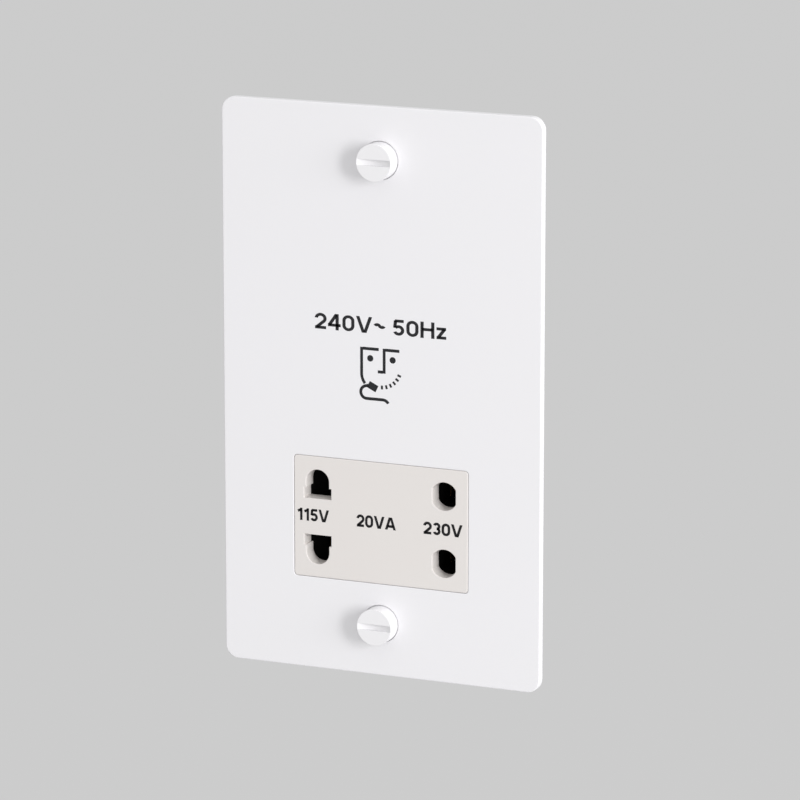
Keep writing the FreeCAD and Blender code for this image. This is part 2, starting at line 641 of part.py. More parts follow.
for side in ("-", ""):
    centre = side + OUTLET_X
    for rise in ("", "-"):
        for made, more in ((chimneys, "pocket_wall"), (bores, "0")):
            half, tall = "(pocket_width / 2 + %s)" % more, "(pocket_height / 2 + %s)" % more
            rectangle(made, "%s - %s" % (centre, half), "%s + %s" % (centre, half),
                      "%spin_offset - %s" % (rise, tall), "%spin_offset + %s" % (rise, tall))
        ends = ["(arch_inner - pin_clear)", "(hole_outer + pin_clear)"]
        if rise:
            ends = ["-" + ends[1], "-" + ends[0]]
        rectangle(gates, "%s - %s" % (centre, gate_half), "%s + %s" % (centre, gate_half), ends[0], ends[1])
pad(carrier, chimneys, "pocket_depth")
cut(carrier, bores, "pocket_depth")
cut(carrier, gates, "carrier_wall")
groove = sketch(carrier, "XZ", CARRIER_FRONT, up=SOCKET_Z)
cut(carrier, centred(groove, "spring_length", "2 * " + GROOVE), groove_depth)
pieces.append(carrier)

# Four sprung contacts: a strip folded round the pin, with a flared mouth and a solder tail
CONTACT_REAR = "(%s - pin_clear - board_thick)" % BOARD_FRONT
CONTACT_MOUTH = "(%s - contact_reach)" % CONTACT_REAR
CONTACT_GRIP = "(%s + contact_flare)" % CONTACT_MOUTH
CONTACT_BEND = "(%s - contact_strip)" % CONTACT_REAR
for voltage, side in (("115", "-"), ("230", "")):
    for name, rise in (("upper", ""), ("lower", "-")):
        spring = body("contact_%s_%s" % (voltage, name))
        level = "%s + %spin_offset" % (SOCKET_Z, rise)
        strip = sketch(spring, "XY", "%s - contact_height / 2" % level, across=side + OUTLET_X)
        jaw = [("contact_mouth", CONTACT_MOUTH), ("contact_throat", CONTACT_GRIP)]
        inner = jaw + [("contact_base", CONTACT_BEND)]
        outer = jaw + [("contact_base", CONTACT_REAR)]
        fold = [("(%s + contact_strip)" % x, y) for x, y in outer]
        fold += [("-(%s + contact_strip)" % x, y) for x, y in reversed(outer)]
        fold += [("-" + x, y) for x, y in inner]
        fold += [(x, y) for x, y in reversed(inner)]
        pad(spring, outline(strip, fold), "contact_height")
        rounded(spring, "contact_strip", along("Z", lambda c: c.y > num(CONTACT_BEND)))
        tail = sketch(spring, "XZ", CONTACT_BEND, across=side + OUTLET_X, up=level)
        reach = "%s + joint_proud - %s" % (BOARD_REAR, CONTACT_BEND)
        pad(spring, centred(tail, "contact_strip", "tail_width"), reach)
        pieces.append(spring)

# Circuit board with a hole for everything that is soldered into it
board = body("circuit_board")
sheet = sketch(board, "XZ", BOARD_FRONT)
pad(board, rectangle(sheet, "-" + BOARD_HALF, BOARD_HALF, BOARD_BOTTOM, BOARD_TOP), "board_thick")
drilled = sketch(board, "XZ", BOARD_FRONT)
fit = "2 * board_hole_fit"


def board_slot(across, up, width, height):
    """One soldered hole."""
    wide = "(%s + %s) / 2" % (width, fit)
    tall = "(%s + %s) / 2" % (height, fit)
    rectangle(drilled, "%s - %s" % (across, wide), "%s + %s" % (across, wide),
              "%s - %s" % (up, tall), "%s + %s" % (up, tall))


for side in ("-", ""):
    for rise in ("+", "-"):
        board_slot(side + OUTLET_X, "%s %s pin_offset" % (SOCKET_Z, rise), "contact_strip", "tail_width")
    board_slot(side + CLAMP_X, BLOCK_Z, "leg_width", "leg_thick")
    board_slot("cutout_side %s cutout_width / 4" % (side or "+"), CUTOUT_Z, "cutout_lead", "cutout_lead")
for i in range(int(num("lead_count"))):
    board_slot("(%d - (lead_count - 1) / 2) * lead_pitch" % i, LEAD_Z, "lead_size", "lead_size")
cut(board, drilled, "board_thick")
pieces.append(board)

# Thermal cut-out on the board
breaker = body("thermal_cutout")
capsule = sketch(breaker, "XZ", BOARD_FRONT + " - cutout_depth", across="cutout_side", up=CUTOUT_Z)
pad(breaker, centred(capsule, "cutout_width", "cutout_height"), "cutout_depth")
rounded(breaker, "cutout_height / 6", along("Y"))
wires = sketch(breaker, "XZ", BOARD_FRONT + " - cutout_lead", across="cutout_side", up=CUTOUT_Z)
for side in ("-", ""):
    reach, thick = side + "cutout_width / 4", "cutout_lead / 2"
    rectangle(wires, "%s - %s" % (reach, thick), "%s + %s" % (reach, thick), "-" + thick, thick)
pad(breaker, wires, "cutout_lead + board_thick + joint_proud")
pieces.append(breaker)

# Transformer core: E and I stacks
core = body("core_e_stack")
half, leg = CORE_WIDTH + " / 2", "core_leg / 2"
slot_side = "(core_leg / 2 + core_window)"
pad(core, outline(sketch(core, "XZ", CORE_FRONT), [
    ("-" + half, CORE_BOTTOM), (half, CORE_BOTTOM), (half, LEG_TOP), (slot_side, LEG_TOP),
    (slot_side, LEG_BOTTOM), (leg, LEG_BOTTOM), (leg, LEG_TOP), ("-" + leg, LEG_TOP),
    ("-" + leg, LEG_BOTTOM), ("-" + slot_side, LEG_BOTTOM), ("-" + slot_side, LEG_TOP),
    ("-" + half, LEG_TOP),
]), "core_stack")
pieces.append(core)
yoke = body("core_i_stack")
pad(yoke, rectangle(sketch(yoke, "XZ", CORE_FRONT), "-" + half, half, LEG_TOP, CORE_TOP), "core_stack")
pieces.append(yoke)

# Bobbin: square tube with three flanges and a pin rail behind the lower yoke
bobbin = body("winding_bobbin")
TUBE_X = "(core_leg / 2 + bobbin_clear + bobbin_wall)"
TUBE_Y = "(core_stack / 2 + bobbin_clear + bobbin_wall)"
FLANGE_X = "(core_leg / 2 + core_window - bobbin_clear)"
SPOOL_BOTTOM = "(%s + bobbin_clear)" % LEG_BOTTOM
SPOOL = "(core_window_length - 2 * bobbin_clear)"
CHAMBER = "((%s - 3 * bobbin_wall) / 2)" % SPOOL
tube = sketch(bobbin, "XY", SPOOL_BOTTOM, up=CORE_MID)
pad(bobbin, centred(tube, "2 * " + TUBE_X, "2 * " + TUBE_Y), SPOOL)
for level in ("0", "(bobbin_wall + %s)" % CHAMBER, "2 * (bobbin_wall + %s)" % CHAMBER):
    flange = sketch(bobbin, "XY", "%s + %s" % (SPOOL_BOTTOM, level), up=CORE_MID)
    pad(bobbin, centred(flange, "2 * " + FLANGE_X, "2 * " + COIL_HALF), "bobbin_wall")
ledge = sketch(bobbin, "XY", SPOOL_BOTTOM + " - pin_rail_height")
RAIL_HALF = "((lead_count - 1) / 2 * lead_pitch + 2 * lead_size)"
RAIL_FRONT = CORE_REAR + " + core_clear"
rectangle(ledge, "-" + RAIL_HALF, RAIL_HALF, RAIL_FRONT, RAIL_FRONT + " + pin_rail_depth")
pad(bobbin, ledge, "pin_rail_height + bobbin_wall")
bore = sketch(bobbin, "XY", SPOOL_BOTTOM, up=CORE_MID)
cut(bobbin, centred(bore, "2 * (%s - bobbin_wall)" % TUBE_X, "2 * (%s - bobbin_wall)" % TUBE_Y), SPOOL)
pieces.append(bobbin)

# Two windings, one in each chamber of the bobbin
CHAMBERS = (("primary_winding", "bobbin_wall"), ("secondary_winding", "2 * bobbin_wall + " + CHAMBER))
for name, level in CHAMBERS:
    winding = body(name)
    low = "%s + %s" % (SPOOL_BOTTOM, level)
    turns = sketch(winding, "XY", low, up=CORE_MID)
    centred(turns, "2 * (%s - winding_inset)" % FLANGE_X, "2 * (%s - winding_inset)" % COIL_HALF)
    pad(winding, turns, CHAMBER)
    rounded(winding, "winding_corner", along("Z"))
    inside = sketch(winding, "XY", low, up=CORE_MID)
    centred(inside, "2 * (%s + winding_fit)" % TUBE_X, "2 * (%s + winding_fit)" % TUBE_Y)
    cut(winding, inside, CHAMBER)
    pieces.append(winding)

# Bobbin pins: bent square wire from the pin rail down behind the yoke and forward through the board
leads = body("bobbin_pins")
leads.AllowCompound = True
bent = sketch(leads, "YZ", "-(lead_count - 1) / 2 * lead_pitch")
LEAD_TOP = "(%s - pin_rail_height)" % SPOOL_BOTTOM
LEAD_FRONT = "(%s - joint_proud)" % BOARD_FRONT
first = pad(leads, outline(bent, [
    (LEAD_FRONT, LEAD_Z + " - lead_size / 2"), (LEAD_Y + " + lead_size / 2", LEAD_Z + " - lead_size / 2"),
    (LEAD_Y + " + lead_size / 2", LEAD_TOP), (LEAD_Y + " - lead_size / 2", LEAD_TOP),
    (LEAD_Y + " - lead_size / 2", LEAD_Z + " + lead_size / 2"), (LEAD_FRONT, LEAD_Z + " + lead_size / 2"),
]), "lead_size", both=True)
repeated(leads, first, "X", "(lead_count - 1) * lead_pitch", "lead_count")
pieces.append(leads)

# Case: one stepped shell, ears at the studs, ribs for the core, posts for the board, ventilation slots
case = body("rear_housing")
side_view = outline(sketch(case, "YZ", "0"), [
    (COVER_REAR, CASE_BOTTOM), (STEP_OUT, CASE_BOTTOM), (STEP_OUT, STEP_Z), (CASE_REAR, STEP_Z),
    (CASE_REAR, CASE_TOP), (COVER_REAR, CASE_TOP),
])
pad(case, side_view, "2 * " + CASE_HALF, both=True)
solid = case.Tip
faces = enumerate(solid.Shape.Faces, start=1)
open_faces = ["Face%d" % i for i, face in faces if near(face.BoundBox.YMax, COVER_REAR)]
shell = case.newObject("PartDesign::Thickness", "Thickness")
shell.Base = (solid, open_faces)
shell.setExpression("Value", ex("housing_wall"))
shell.Reversed = True
doc.recompute()


def outer_edge(edge):
    """Edges of the case's outside, apart from its open rim."""
    box = edge.BoundBox
    outside = near(box.XMax, CASE_HALF) or near(box.XMin, "-" + CASE_HALF)
    return outside and not at_level("Y", COVER_REAR)(edge)


rounded(case, "housing_round", outer_edge)
ears = sketch(case, "XZ", COVER_REAR)
ear_holes = sketch(case, "XZ", COVER_REAR)
root = "(%s - housing_wall / 2)" % CASE_HALF
for level in (STUD_TOP, STUD_BOTTOM):
    low, high = level + " - stud_edge", level + " + stud_edge"
    rectangle(ears, root, STUD_X + " + stud_edge", low, high)
    rectangle(ears, "-(%s + stud_edge)" % STUD_X, "-" + root, low, high)
    circle(ear_holes, "stud_dia + 2 * stud_fit", STUD_X, level)
    circle(ear_holes, "stud_dia + 2 * stud_fit", "-" + STUD_X, level)
pad(case, ears, "ear_thick")
rounded(case, "stud_edge * 0.8", along("Y", lambda c: abs(c.x) > num(STUD_X)))
cut(case, ear_holes, "ear_thick")
ribs = sketch(case, "XZ", CORE_REAR)
shelves = sketch(case, "XZ", CORE_FRONT + " + core_clear")
for side in ("", "-"):
    spans = ["(%s - rib_thick / 2)" % SIDE_LEG_X, "(%s + rib_thick / 2)" % SIDE_LEG_X]
    ledges = ["(core_leg / 2 + core_window + rib_thick)", root]
    if side:
        spans = ["-" + spans[1], "-" + spans[0]]
        ledges = ["-" + ledges[1], "-" + ledges[0]]
    rectangle(ribs, spans[0], spans[1], CORE_BOTTOM + " + rib_thick", CORE_TOP + " - rib_thick")
    rectangle(shelves, ledges[0], ledges[1], CORE_BOTTOM + " - rib_thick", CORE_BOTTOM)
pad(case, ribs, "%s - %s + housing_wall / 2" % (CASE_REAR_IN, CORE_REAR))
pad(case, shelves, "%s - %s - core_clear + housing_wall / 2" % (CASE_REAR_IN, CORE_FRONT))
stand_offs = sketch(case, "XZ", BOARD_REAR)
for side in ("", "-"):
    for level in (BOARD_BOTTOM + " + post_dia", STEP_Z + " - post_dia"):
        circle(stand_offs, "post_dia", "%s(%s - post_dia)" % (side, BOARD_HALF), level)
pad(case, stand_offs, "board_space + housing_wall / 2")
passages = sketch(case, "XZ", STEP_IN)
for side in ("", "-"):
    across = side + CLAMP_X
    wide, tall = "(leg_width / 2 + leg_fit)", "(leg_thick / 2 + leg_fit)"
    rectangle(passages, "%s - %s" % (across, wide), "%s + %s" % (across, wide),
              "%s - %s" % (BLOCK_Z, tall), "%s + %s" % (BLOCK_Z, tall))
    circle(passages, BLOCK_SCREW_HOLE, side + BLOCK_SCREW_X, BLOCK_Z)
cut(case, passages, "housing_wall")
LOWEST_VENT = "(%s + %s) / 2 - (vent_count - 1) / 2 * vent_pitch" % (LEG_BOTTOM, LEG_TOP)
vent = sketch(case, "XZ", CASE_REAR_IN, up=LOWEST_VENT)
slot = cut(case, centred(vent, "vent_width", "vent_height"), "housing_wall")
repeated(case, slot, "Z", "(vent_count - 1) * vent_pitch", "vent_count")
pieces.append(case)

# Weld studs on the plate and the nuts that clamp flange and case to it
stud_members, nut_members = [], []
for level in (STUD_TOP, STUD_BOTTOM):
    for side in ("", "-"):
        stud = doc.addObject("Part::Cylinder", "Stud")
        stud.setExpression("Radius", ex("stud_dia / 2"))
        stud.setExpression("Height", ex("%s - %s + nut_height + stud_past" % (EAR_REAR, BACK)))
        nut = doc.addObject("Part::Prism", "NutBlank")
        nut.Polygon = 6
        nut.setExpression("Circumradius", ex("nut_across / 2 / cos(30)"))
        nut.setExpression("Height", ex("nut_height"))
        thread = doc.addObject("Part::Cylinder", "NutThread")
        thread.setExpression("Radius", ex("stud_dia / 2 + nut_fit"))
        thread.setExpression("Height", ex("nut_height"))
        for made, start, turn in ((stud, BACK, 0), (nut, EAR_REAR, 30), (thread, EAR_REAR, 0)):
            upright = FreeCAD.Rotation(Vector(1, 0, 0), -90)
            spun = FreeCAD.Rotation(Vector(0, 0, 1), turn)
            made.Placement = FreeCAD.Placement(Vector(0, 0, 0), upright.multiply(spun))
            made.setExpression("Placement.Base.x", ex(side + STUD_X))
            made.setExpression("Placement.Base.y", ex(start))
            made.setExpression("Placement.Base.z", ex(level))
        bored = doc.addObject("Part::Cut", "Nut")
        bored.Base, bored.Tool = nut, thread
        stud_members.append(stud)
        nut_members.append(bored)
pieces.append(group("plate_studs", stud_members))
pieces.append(group("stud_nuts", nut_members))

# Terminal block: base, three partitions and a head wall, open below for the wires and behind for the driver
block = body("terminal_block")
pad(block, centred(sketch(block, "XZ", STEP_OUT, up=BLOCK_Z), "block_width", "block_height"), "block_base")
rounded(block, "block_corner", along("Y"))
walls = sketch(block, "XZ", BLOCK_FACE, up=BLOCK_Z)
high = "block_height / 2"
wing = "(terminal_pitch + block_wall / 2)"
bay, roof, middle = wing + " - block_wall", high + " - block_wall", "block_wall / 2"
outline(walls, [
    ("-" + wing, "-" + high), ("-(%s)" % bay, "-" + high), ("-(%s)" % bay, roof), ("-" + middle, roof),
    ("-" + middle, "-" + high), (middle, "-" + high), (middle, roof), (bay, roof), (bay, "-" + high),
    (wing, "-" + high), (wing, high), ("-" + wing, high),
])
pad(block, walls, "block_depth")
openings = sketch(block, "XZ", STEP_OUT, up=BLOCK_Z)
for side in ("", "-"):
    across = side + CLAMP_X
    rectangle(openings, "%s - %s" % (across, wide), "%s + %s" % (across, wide), "-" + tall, tall)
    circle(openings, BLOCK_SCREW_HOLE, side + BLOCK_SCREW_X, "0")
cut(block, openings, "block_base")
pieces.append(block)


def slotted_screw(across, level, seat, head, rise, shank, tip):
    """A cheese-head screw seen from behind: its head sits on the seat and its shank points to the front."""
    made = body("Screw")
    turned = sketch(made, "XY", level, across=across)
    outline(turned, [
        ("0", tip), ("%s / 2" % shank, tip), ("%s / 2" % shank, seat), ("%s / 2" % head, seat),
        ("%s / 2" % head, "%s + %s" % (seat, rise)), ("0", "%s + %s" % (seat, rise)),
    ])
    revolve(made, turned)
    rounded(made, rise + " / 6", at_level("Y", "%s + %s" % (seat, rise)), kind="Chamfer")
    slot_start = sketch(made, "XZ", "%s + %s - clamp_screw_cut" % (seat, rise), across=across, up=level)
    cut(made, centred(slot_start, "%s * 1.2" % head, "clamp_screw_slot"), "clamp_screw_cut")
    return made


# Screws of the terminal block
block_screws = [
    slotted_screw(side + BLOCK_SCREW_X, BLOCK_Z, BLOCK_FACE, "block_screw_head", "block_screw_rise",
                  "block_screw_dia", STEP_IN + " - block_screw_past")
    for side in ("", "-")
]
pieces.append(group("block_screws", block_screws))


def clamp(label, across, level, seat, wire):
    """A brass clamp on a seat facing the back: a hole for the wire along z or x, a tapped hole behind it."""
    made = body(label)
    bar = sketch(made, "XZ", seat, across=across, up=level)
    pad(made, centred(bar, "clamp_width", "clamp_height"), "clamp_depth")
    rounded(made, "clamp_edge", along("Y"), kind="Chamfer")
    middle = "%s + wire_offset" % seat
    if wire == "Z":
        hole = circle(sketch(made, "XY", "%s - clamp_height / 2" % level), "wire_bore", across, middle)
        cut(made, hole, "clamp_height")
    else:
        hole = circle(sketch(made, "YZ", "%s - clamp_width / 2" % across), "wire_bore", middle, level)
        cut(made, hole, "clamp_width")
    tapped = sketch(made, "XZ", middle, across=across, up=level)
    cut(made, circle(tapped, "clamp_screw_dia + 2 * clamp_screw_fit"), "clamp_depth - wire_offset")
    return made


# Supply terminals with solder legs through the case to the board, and the plate's earth terminal
terminal_screws = []
for label, side in (("terminal_live", "-"), ("terminal_neutral", "")):
    brass = clamp(label, side + CLAMP_X, BLOCK_Z, BLOCK_FACE, "Z")
    leg_sketch = sketch(brass, "XZ", LEG_END, across=side + CLAMP_X, up=BLOCK_Z)
    pad(brass, centred(leg_sketch, "leg_width", "leg_thick"), "%s - %s + leg_thick" % (BLOCK_FACE, LEG_END))
    pieces.append(brass)
    terminal_screws.append((side + CLAMP_X, BLOCK_Z, BLOCK_FACE))
pieces.append(clamp("earth_terminal", "-earth_side", EARTH_Z, BACK, "X"))
terminal_screws.append(("-earth_side", EARTH_Z, BACK))
pieces.append(group("terminal_screws", [
    slotted_screw(across, level, seat + " + clamp_depth", "clamp_screw_head", "clamp_screw_rise",
                  "clamp_screw_dia", seat + " + wire_offset + wire_bore / 2 + clamp_screw_stop")
    for across, level, seat in terminal_screws
]))

# Every object must have recomputed, and every piece must be sound, before anything is written
doc.recompute()
for made in doc.Objects:
    if "Invalid" in made.State or "Error" in made.State:
        raise RuntimeError("%s failed: %s" % (made.Label, made.State))
for piece in pieces:
    if piece.Shape.isNull() or not piece.Shape.isValid() or not piece.Shape.Solids:
        raise RuntimeError("%s has no sound solid" % piece.Label)

os.makedirs("parts", exist_ok=True)
for piece in pieces:
    piece.Shape.exportStep(os.path.join("parts", piece.Label + ".step"))
    print("%-22s solids %d  volume %.1f" % (piece.Label, len(piece.Shape.Solids), piece.Shape.Volume))
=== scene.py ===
"""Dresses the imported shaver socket: finishes for the CAD pieces, marks, threads, spring, studio, camera."""
import logging
import math
from dataclasses import dataclass, field
from enum import Enum

import bmesh
import bpy
from mathutils import Matrix, Vector


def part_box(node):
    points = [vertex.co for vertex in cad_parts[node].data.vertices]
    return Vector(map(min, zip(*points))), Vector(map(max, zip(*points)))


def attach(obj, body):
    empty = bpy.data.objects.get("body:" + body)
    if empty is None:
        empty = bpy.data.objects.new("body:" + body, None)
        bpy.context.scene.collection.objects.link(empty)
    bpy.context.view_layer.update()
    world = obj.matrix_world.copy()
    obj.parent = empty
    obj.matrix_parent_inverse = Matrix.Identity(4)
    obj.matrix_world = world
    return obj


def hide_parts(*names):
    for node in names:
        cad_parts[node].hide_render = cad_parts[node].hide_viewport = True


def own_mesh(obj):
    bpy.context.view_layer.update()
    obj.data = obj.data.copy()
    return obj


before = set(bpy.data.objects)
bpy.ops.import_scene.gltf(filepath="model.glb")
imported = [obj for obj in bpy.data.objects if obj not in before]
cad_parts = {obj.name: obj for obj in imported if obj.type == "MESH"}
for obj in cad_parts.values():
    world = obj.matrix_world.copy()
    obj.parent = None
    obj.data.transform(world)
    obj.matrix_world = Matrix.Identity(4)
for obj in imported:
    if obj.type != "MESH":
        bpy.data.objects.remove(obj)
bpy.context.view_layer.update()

LOG = logging.getLogger("shaver_socket")
MM = 0.001
MM_PER_METRE = 1000.0

# Levels in the row frame, in millimetres, as the CAD source has them
FACE_Y = -2.8
SOCKET_Z = -33.8

# CAD body that all the added pieces ride on
UNIT = "unit"

# A noise texture's values mostly lie between these two
NOISE_LOW, NOISE_HIGH = 0.3, 0.7
# Rolling and drawing lines are this share as fine along the metal as across it
LINE_SHARE = 0.06
# Waviness of stacked sheets and of wire turns
WAVER = 0.3
# A wave texture's band repeats every tenth of pi of its scaled coordinate
WAVE_BAND = math.pi / 10.0


class Relief(Enum):
    """How a finish's small relief was made."""

    PEEL = "cured powder or polished mould"
    SPARK = "spark-eroded mould"
    FOAM = "closed foam cells"
    ROLLED = "rolling or drawing lines"
    STACK = "stacked sheets along y"
    TURNS = "wire turns along z"


def linear(code: str) -> tuple[float, float, float, float]:
    """Turns an sRGB hex colour into linear RGBA.

    Args:
        code: Colour such as "#EFEEF1".

    Returns:
        Linear red, green, blue and an alpha of one.
    """
    parts = [int(code[i:i + 2], 16) / 255.0 for i in (1, 3, 5)]
    red, green, blue = (c / 12.92 if c <= 0.04045 else ((c + 0.055) / 1.055) ** 2.4 for c in parts)
    return red, green, blue, 1.0


def add_node(tree: bpy.types.NodeTree, kind: str, settings: dict | None = None,
             inputs: dict | None = None) -> bpy.types.Node:
    """Adds one node with its settings, values and links.

    Args:
        tree: Node tree of a material or of the world.
        kind: Node type.
        settings: Properties of the node, by name.
        inputs: Values, or output sockets to link from, by input name or number.

    Returns:
        The new node.
    """
    made = tree.nodes.new(kind)
    for key, value in (settings or {}).items():
        setattr(made, key, value)
    for key, value in (inputs or {}).items():
        if isinstance(value, bpy.types.NodeSocket):
            tree.links.new(value, made.inputs[key])
        else:
            made.inputs[key].default_value = value
    return made


@dataclass(frozen=True)
class Finish:
    """A material: its colours, its gloss and the relief of its surface, with sizes in millimetres."""

    name: str
    colour: str
    drift: str
    roughness: float
    spread: float
    patch_mm: float
    grain_mm: float
    relief_mm: float
    relief: Relief = Relief.PEEL
    # Colour of painted shade in the relief's low parts, if given
    painted_groove_shade: str | None = None
    metallic: float = 0.0
    ior: float = 1.5

    def build(self) -> bpy.types.Material:
        """Makes the material, or returns it if it has been made.

        Returns:
            The material.
        """
        known = bpy.data.materials.get(self.name)
        if known is not None:
            return known
        material = bpy.data.materials.new(self.name)
        material.use_nodes = True
        tree = material.node_tree
        tree.nodes.clear()
        place = add_node(tree, "ShaderNodeTexCoord").outputs["Object"]
        patch = add_node(tree, "ShaderNodeTexNoise", None, {
            "Vector": place, "Scale": MM_PER_METRE / self.patch_mm, "Detail": 3.0}).outputs["Fac"]
        height = self.height(tree, place)
        tone = add_node(tree, "ShaderNodeMix", {"data_type": "RGBA"}, {
            0: patch, 6: linear(self.colour), 7: linear(self.drift)}).outputs[2]
        # Painted shade: the relief's low parts take the darker groove colour
        if self.painted_groove_shade is not None:
            tone = add_node(tree, "ShaderNodeMix", {"data_type": "RGBA"}, {
                0: height, 6: linear(self.painted_groove_shade), 7: tone}).outputs[2]
        gloss = add_node(tree, "ShaderNodeMapRange", None, {
            "Value": patch, "From Min": NOISE_LOW, "From Max": NOISE_HIGH,
            "To Min": self.roughness - self.spread, "To Max": self.roughness + self.spread}).outputs["Result"]
        bump = add_node(tree, "ShaderNodeBump", None, {
            "Strength": 1.0, "Distance": self.relief_mm * MM, "Height": height}).outputs["Normal"]
        self.shade(tree, place, tone, gloss, bump)
        return material

    def height(self, tree: bpy.types.NodeTree, place: bpy.types.NodeSocket) -> bpy.types.NodeSocket:
        """Adds the texture of the relief.

        Args:
            tree: The material's node tree.
            place: Object coordinates.

        Returns:
            A height from 0 to 1.
        """
        per_metre = MM_PER_METRE / self.grain_mm
        if self.relief in (Relief.SPARK, Relief.FOAM):
            kind = "F1" if self.relief is Relief.SPARK else "SMOOTH_F1"
            return add_node(tree, "ShaderNodeTexVoronoi", {"feature": kind}, {
                "Vector": place, "Scale": per_metre}).outputs["Distance"]
        if self.relief is Relief.ROLLED:
            drawn = add_node(tree, "ShaderNodeMapping", None, {
                "Vector": place, "Scale": (per_metre, per_metre * LINE_SHARE, per_metre)}).outputs["Vector"]
            return add_node(tree, "ShaderNodeTexNoise", None, {
                "Vector": drawn, "Scale": 1.0, "Detail": 2.0}).outputs["Fac"]
        if self.relief in (Relief.STACK, Relief.TURNS):
            axis = "Y" if self.relief is Relief.STACK else "Z"
            return add_node(tree, "ShaderNodeTexWave", {"bands_direction": axis}, {
                "Vector": place, "Scale": per_metre * WAVE_BAND, "Distortion": WAVER}).outputs["Fac"]
        return add_node(tree, "ShaderNodeTexNoise", None, {
            "Vector": place, "Scale": per_metre, "Detail": 2.0}).outputs["Fac"]

    def shade(self, tree: bpy.types.NodeTree, place: bpy.types.NodeSocket, tone: bpy.types.NodeSocket,
              gloss: bpy.types.NodeSocket, bump: bpy.types.NodeSocket) -> None:
        """Adds the shader and the output.

        Args:
            tree: The material's node tree.
            place: Object coordinates.
            tone: Base colour.
            gloss: Roughness.
            bump: Bumped normal.
        """
        shader = add_node(tree, "ShaderNodeBsdfPrincipled", None, {
            "Base Color": tone, "Roughness": gloss, "Normal": bump, "Metallic": self.metallic,
            "IOR": self.ior})
        add_node(tree, "ShaderNodeOutputMaterial", None, {"Surface": shader.outputs["BSDF"]})


@dataclass(frozen=True)
class HeadPaint(Finish):
    """Paint on a screw's head, and bare plating from the head's seat to the tip."""

    plating: str = "#C6C9CC"
    seat_mm: float = FACE_Y + 0.6
    overlap_mm: float = 0.02

    def shade(self, tree: bpy.types.NodeTree, place: bpy.types.NodeSocket, tone: bpy.types.NodeSocket,
              gloss: bpy.types.NodeSocket, bump: bpy.types.NodeSocket) -> None:
        """Adds the shader, with the plating behind the seat.

        Args:
            tree: The material's node tree.
            place: Object coordinates.
            tone: Base colour of the paint.
            gloss: Roughness of both.
            bump: Bumped normal.
        """
        along = add_node(tree, "ShaderNodeSeparateXYZ", None, {0: place}).outputs["Y"]
        bare = add_node(tree, "ShaderNodeMath", {"operation": "GREATER_THAN"}, {
            0: along, 1: (self.seat_mm + self.overlap_mm) * MM}).outputs[0]
        mixed = add_node(tree, "ShaderNodeMix", {"data_type": "RGBA"}, {
            0: bare, 6: tone, 7: linear(self.plating)}).outputs[2]
        shader = add_node(tree, "ShaderNodeBsdfPrincipled", None, {
            "Base Color": mixed, "Roughness": gloss, "Normal": bump, "Metallic": bare, "IOR": self.ior})
        add_node(tree, "ShaderNodeOutputMaterial", None, {"Surface": shader.outputs["BSDF"]})


# Polyester powder coat on steel, baked: an even satin white with a faint orange peel
POWDER_COAT = Finish("powder_coated_steel", "#EFEEF1", "#EEEDEF", roughness=0.42, spread=0.04,
                     patch_mm=40.0, grain_mm=0.9, relief_mm=0.004)
# The same coat on a steel screw's head, with bare zinc plating on its shank
SCREW_COAT = HeadPaint("powder_coated_screw", "#F0EFF1", "#EDECEE", roughness=0.38, spread=0.05,
                       patch_mm=12.0, grain_mm=0.8, relief_mm=0.004)
# Urea moulding from a polished mould: dense warm off-white with a soft gloss
UREA = Finish("urea_moulding", "#E5E1DE", "#E4DFDC", roughness=0.36, spread=0.04, patch_mm=30.0,
              grain_mm=0.6, relief_mm=0.003)
# Polycarbonate case from a spark-eroded mould: flat white with a fine sandy relief
CASE_PLASTIC = Finish("polycarbonate_case", "#E8E7E3", "#E3E2DD", roughness=0.55, spread=0.05,
                      patch_mm=35.0, grain_mm=0.7, relief_mm=0.03, relief=Relief.SPARK)
# Expanded EPDM strip: soft black with fine closed cells
EPDM = Finish("epdm_seal", "#202021", "#2A2A2B", roughness=0.85, spread=0.05, patch_mm=18.0, grain_mm=0.8,
              relief_mm=0.06, relief=Relief.FOAM)
# Natural polyamide: milky, slightly yellow, dull
NYLON = Finish("natural_polyamide", "#E2DDCB", "#DAD4BF", roughness=0.45, spread=0.05, patch_mm=8.0,
               grain_mm=0.5, relief_mm=0.006)
# Black polyester moulding: near black and dull
BLACK_PBT = Finish("black_polyester", "#050505", "#080808", roughness=0.7, spread=0.05, patch_mm=15.0,
                   grain_mm=0.5, relief_mm=0.006, ior=1.2)
# Charcoal grey polyamide of the contacts' carrier: dull; its colour is set almost black, partly its own dark
# grey and partly painted shade for the depth of the outlets
CHARCOAL_PA_WITH_PAINTED_SHADE = Finish("charcoal_polyamide_with_painted_shade", "#161617", "#1B1B1C", roughness=0.75, spread=0.05, patch_mm=10.0,
                     grain_mm=0.5, relief_mm=0.01, relief=Relief.SPARK, ior=1.2)
# Glass-filled grey polyamide: dark grey with a rougher skin from the glass
GREY_PA = Finish("glass_filled_polyamide", "#5C5E61", "#525457", roughness=0.52, spread=0.06, patch_mm=10.0,
                 grain_mm=0.5, relief_mm=0.02, relief=Relief.SPARK)
# Bobbin polyamide: unpigmented, a little browner than the washers
BOBBIN_PA = Finish("bobbin_polyamide", "#D6CDB4", "#CCC2A6", roughness=0.48, spread=0.05, patch_mm=9.0,
                   grain_mm=0.5, relief_mm=0.006)
# Hard-drawn steel wire: grey with drawing lines
SPRING_WIRE = Finish("drawn_spring_steel", "#A8AAAC", "#8F9194", roughness=0.3, spread=0.06, patch_mm=3.0,
                     grain_mm=0.2, relief_mm=0.003, relief=Relief.ROLLED, metallic=1.0)
# Zinc-plated steel: bluish bright grey, slightly cloudy
ZINC = Finish("zinc_plated_steel", "#C4C7CB", "#B2B6BB", roughness=0.3, spread=0.07, patch_mm=3.0,
              grain_mm=0.4, relief_mm=0.004, metallic=1.0)
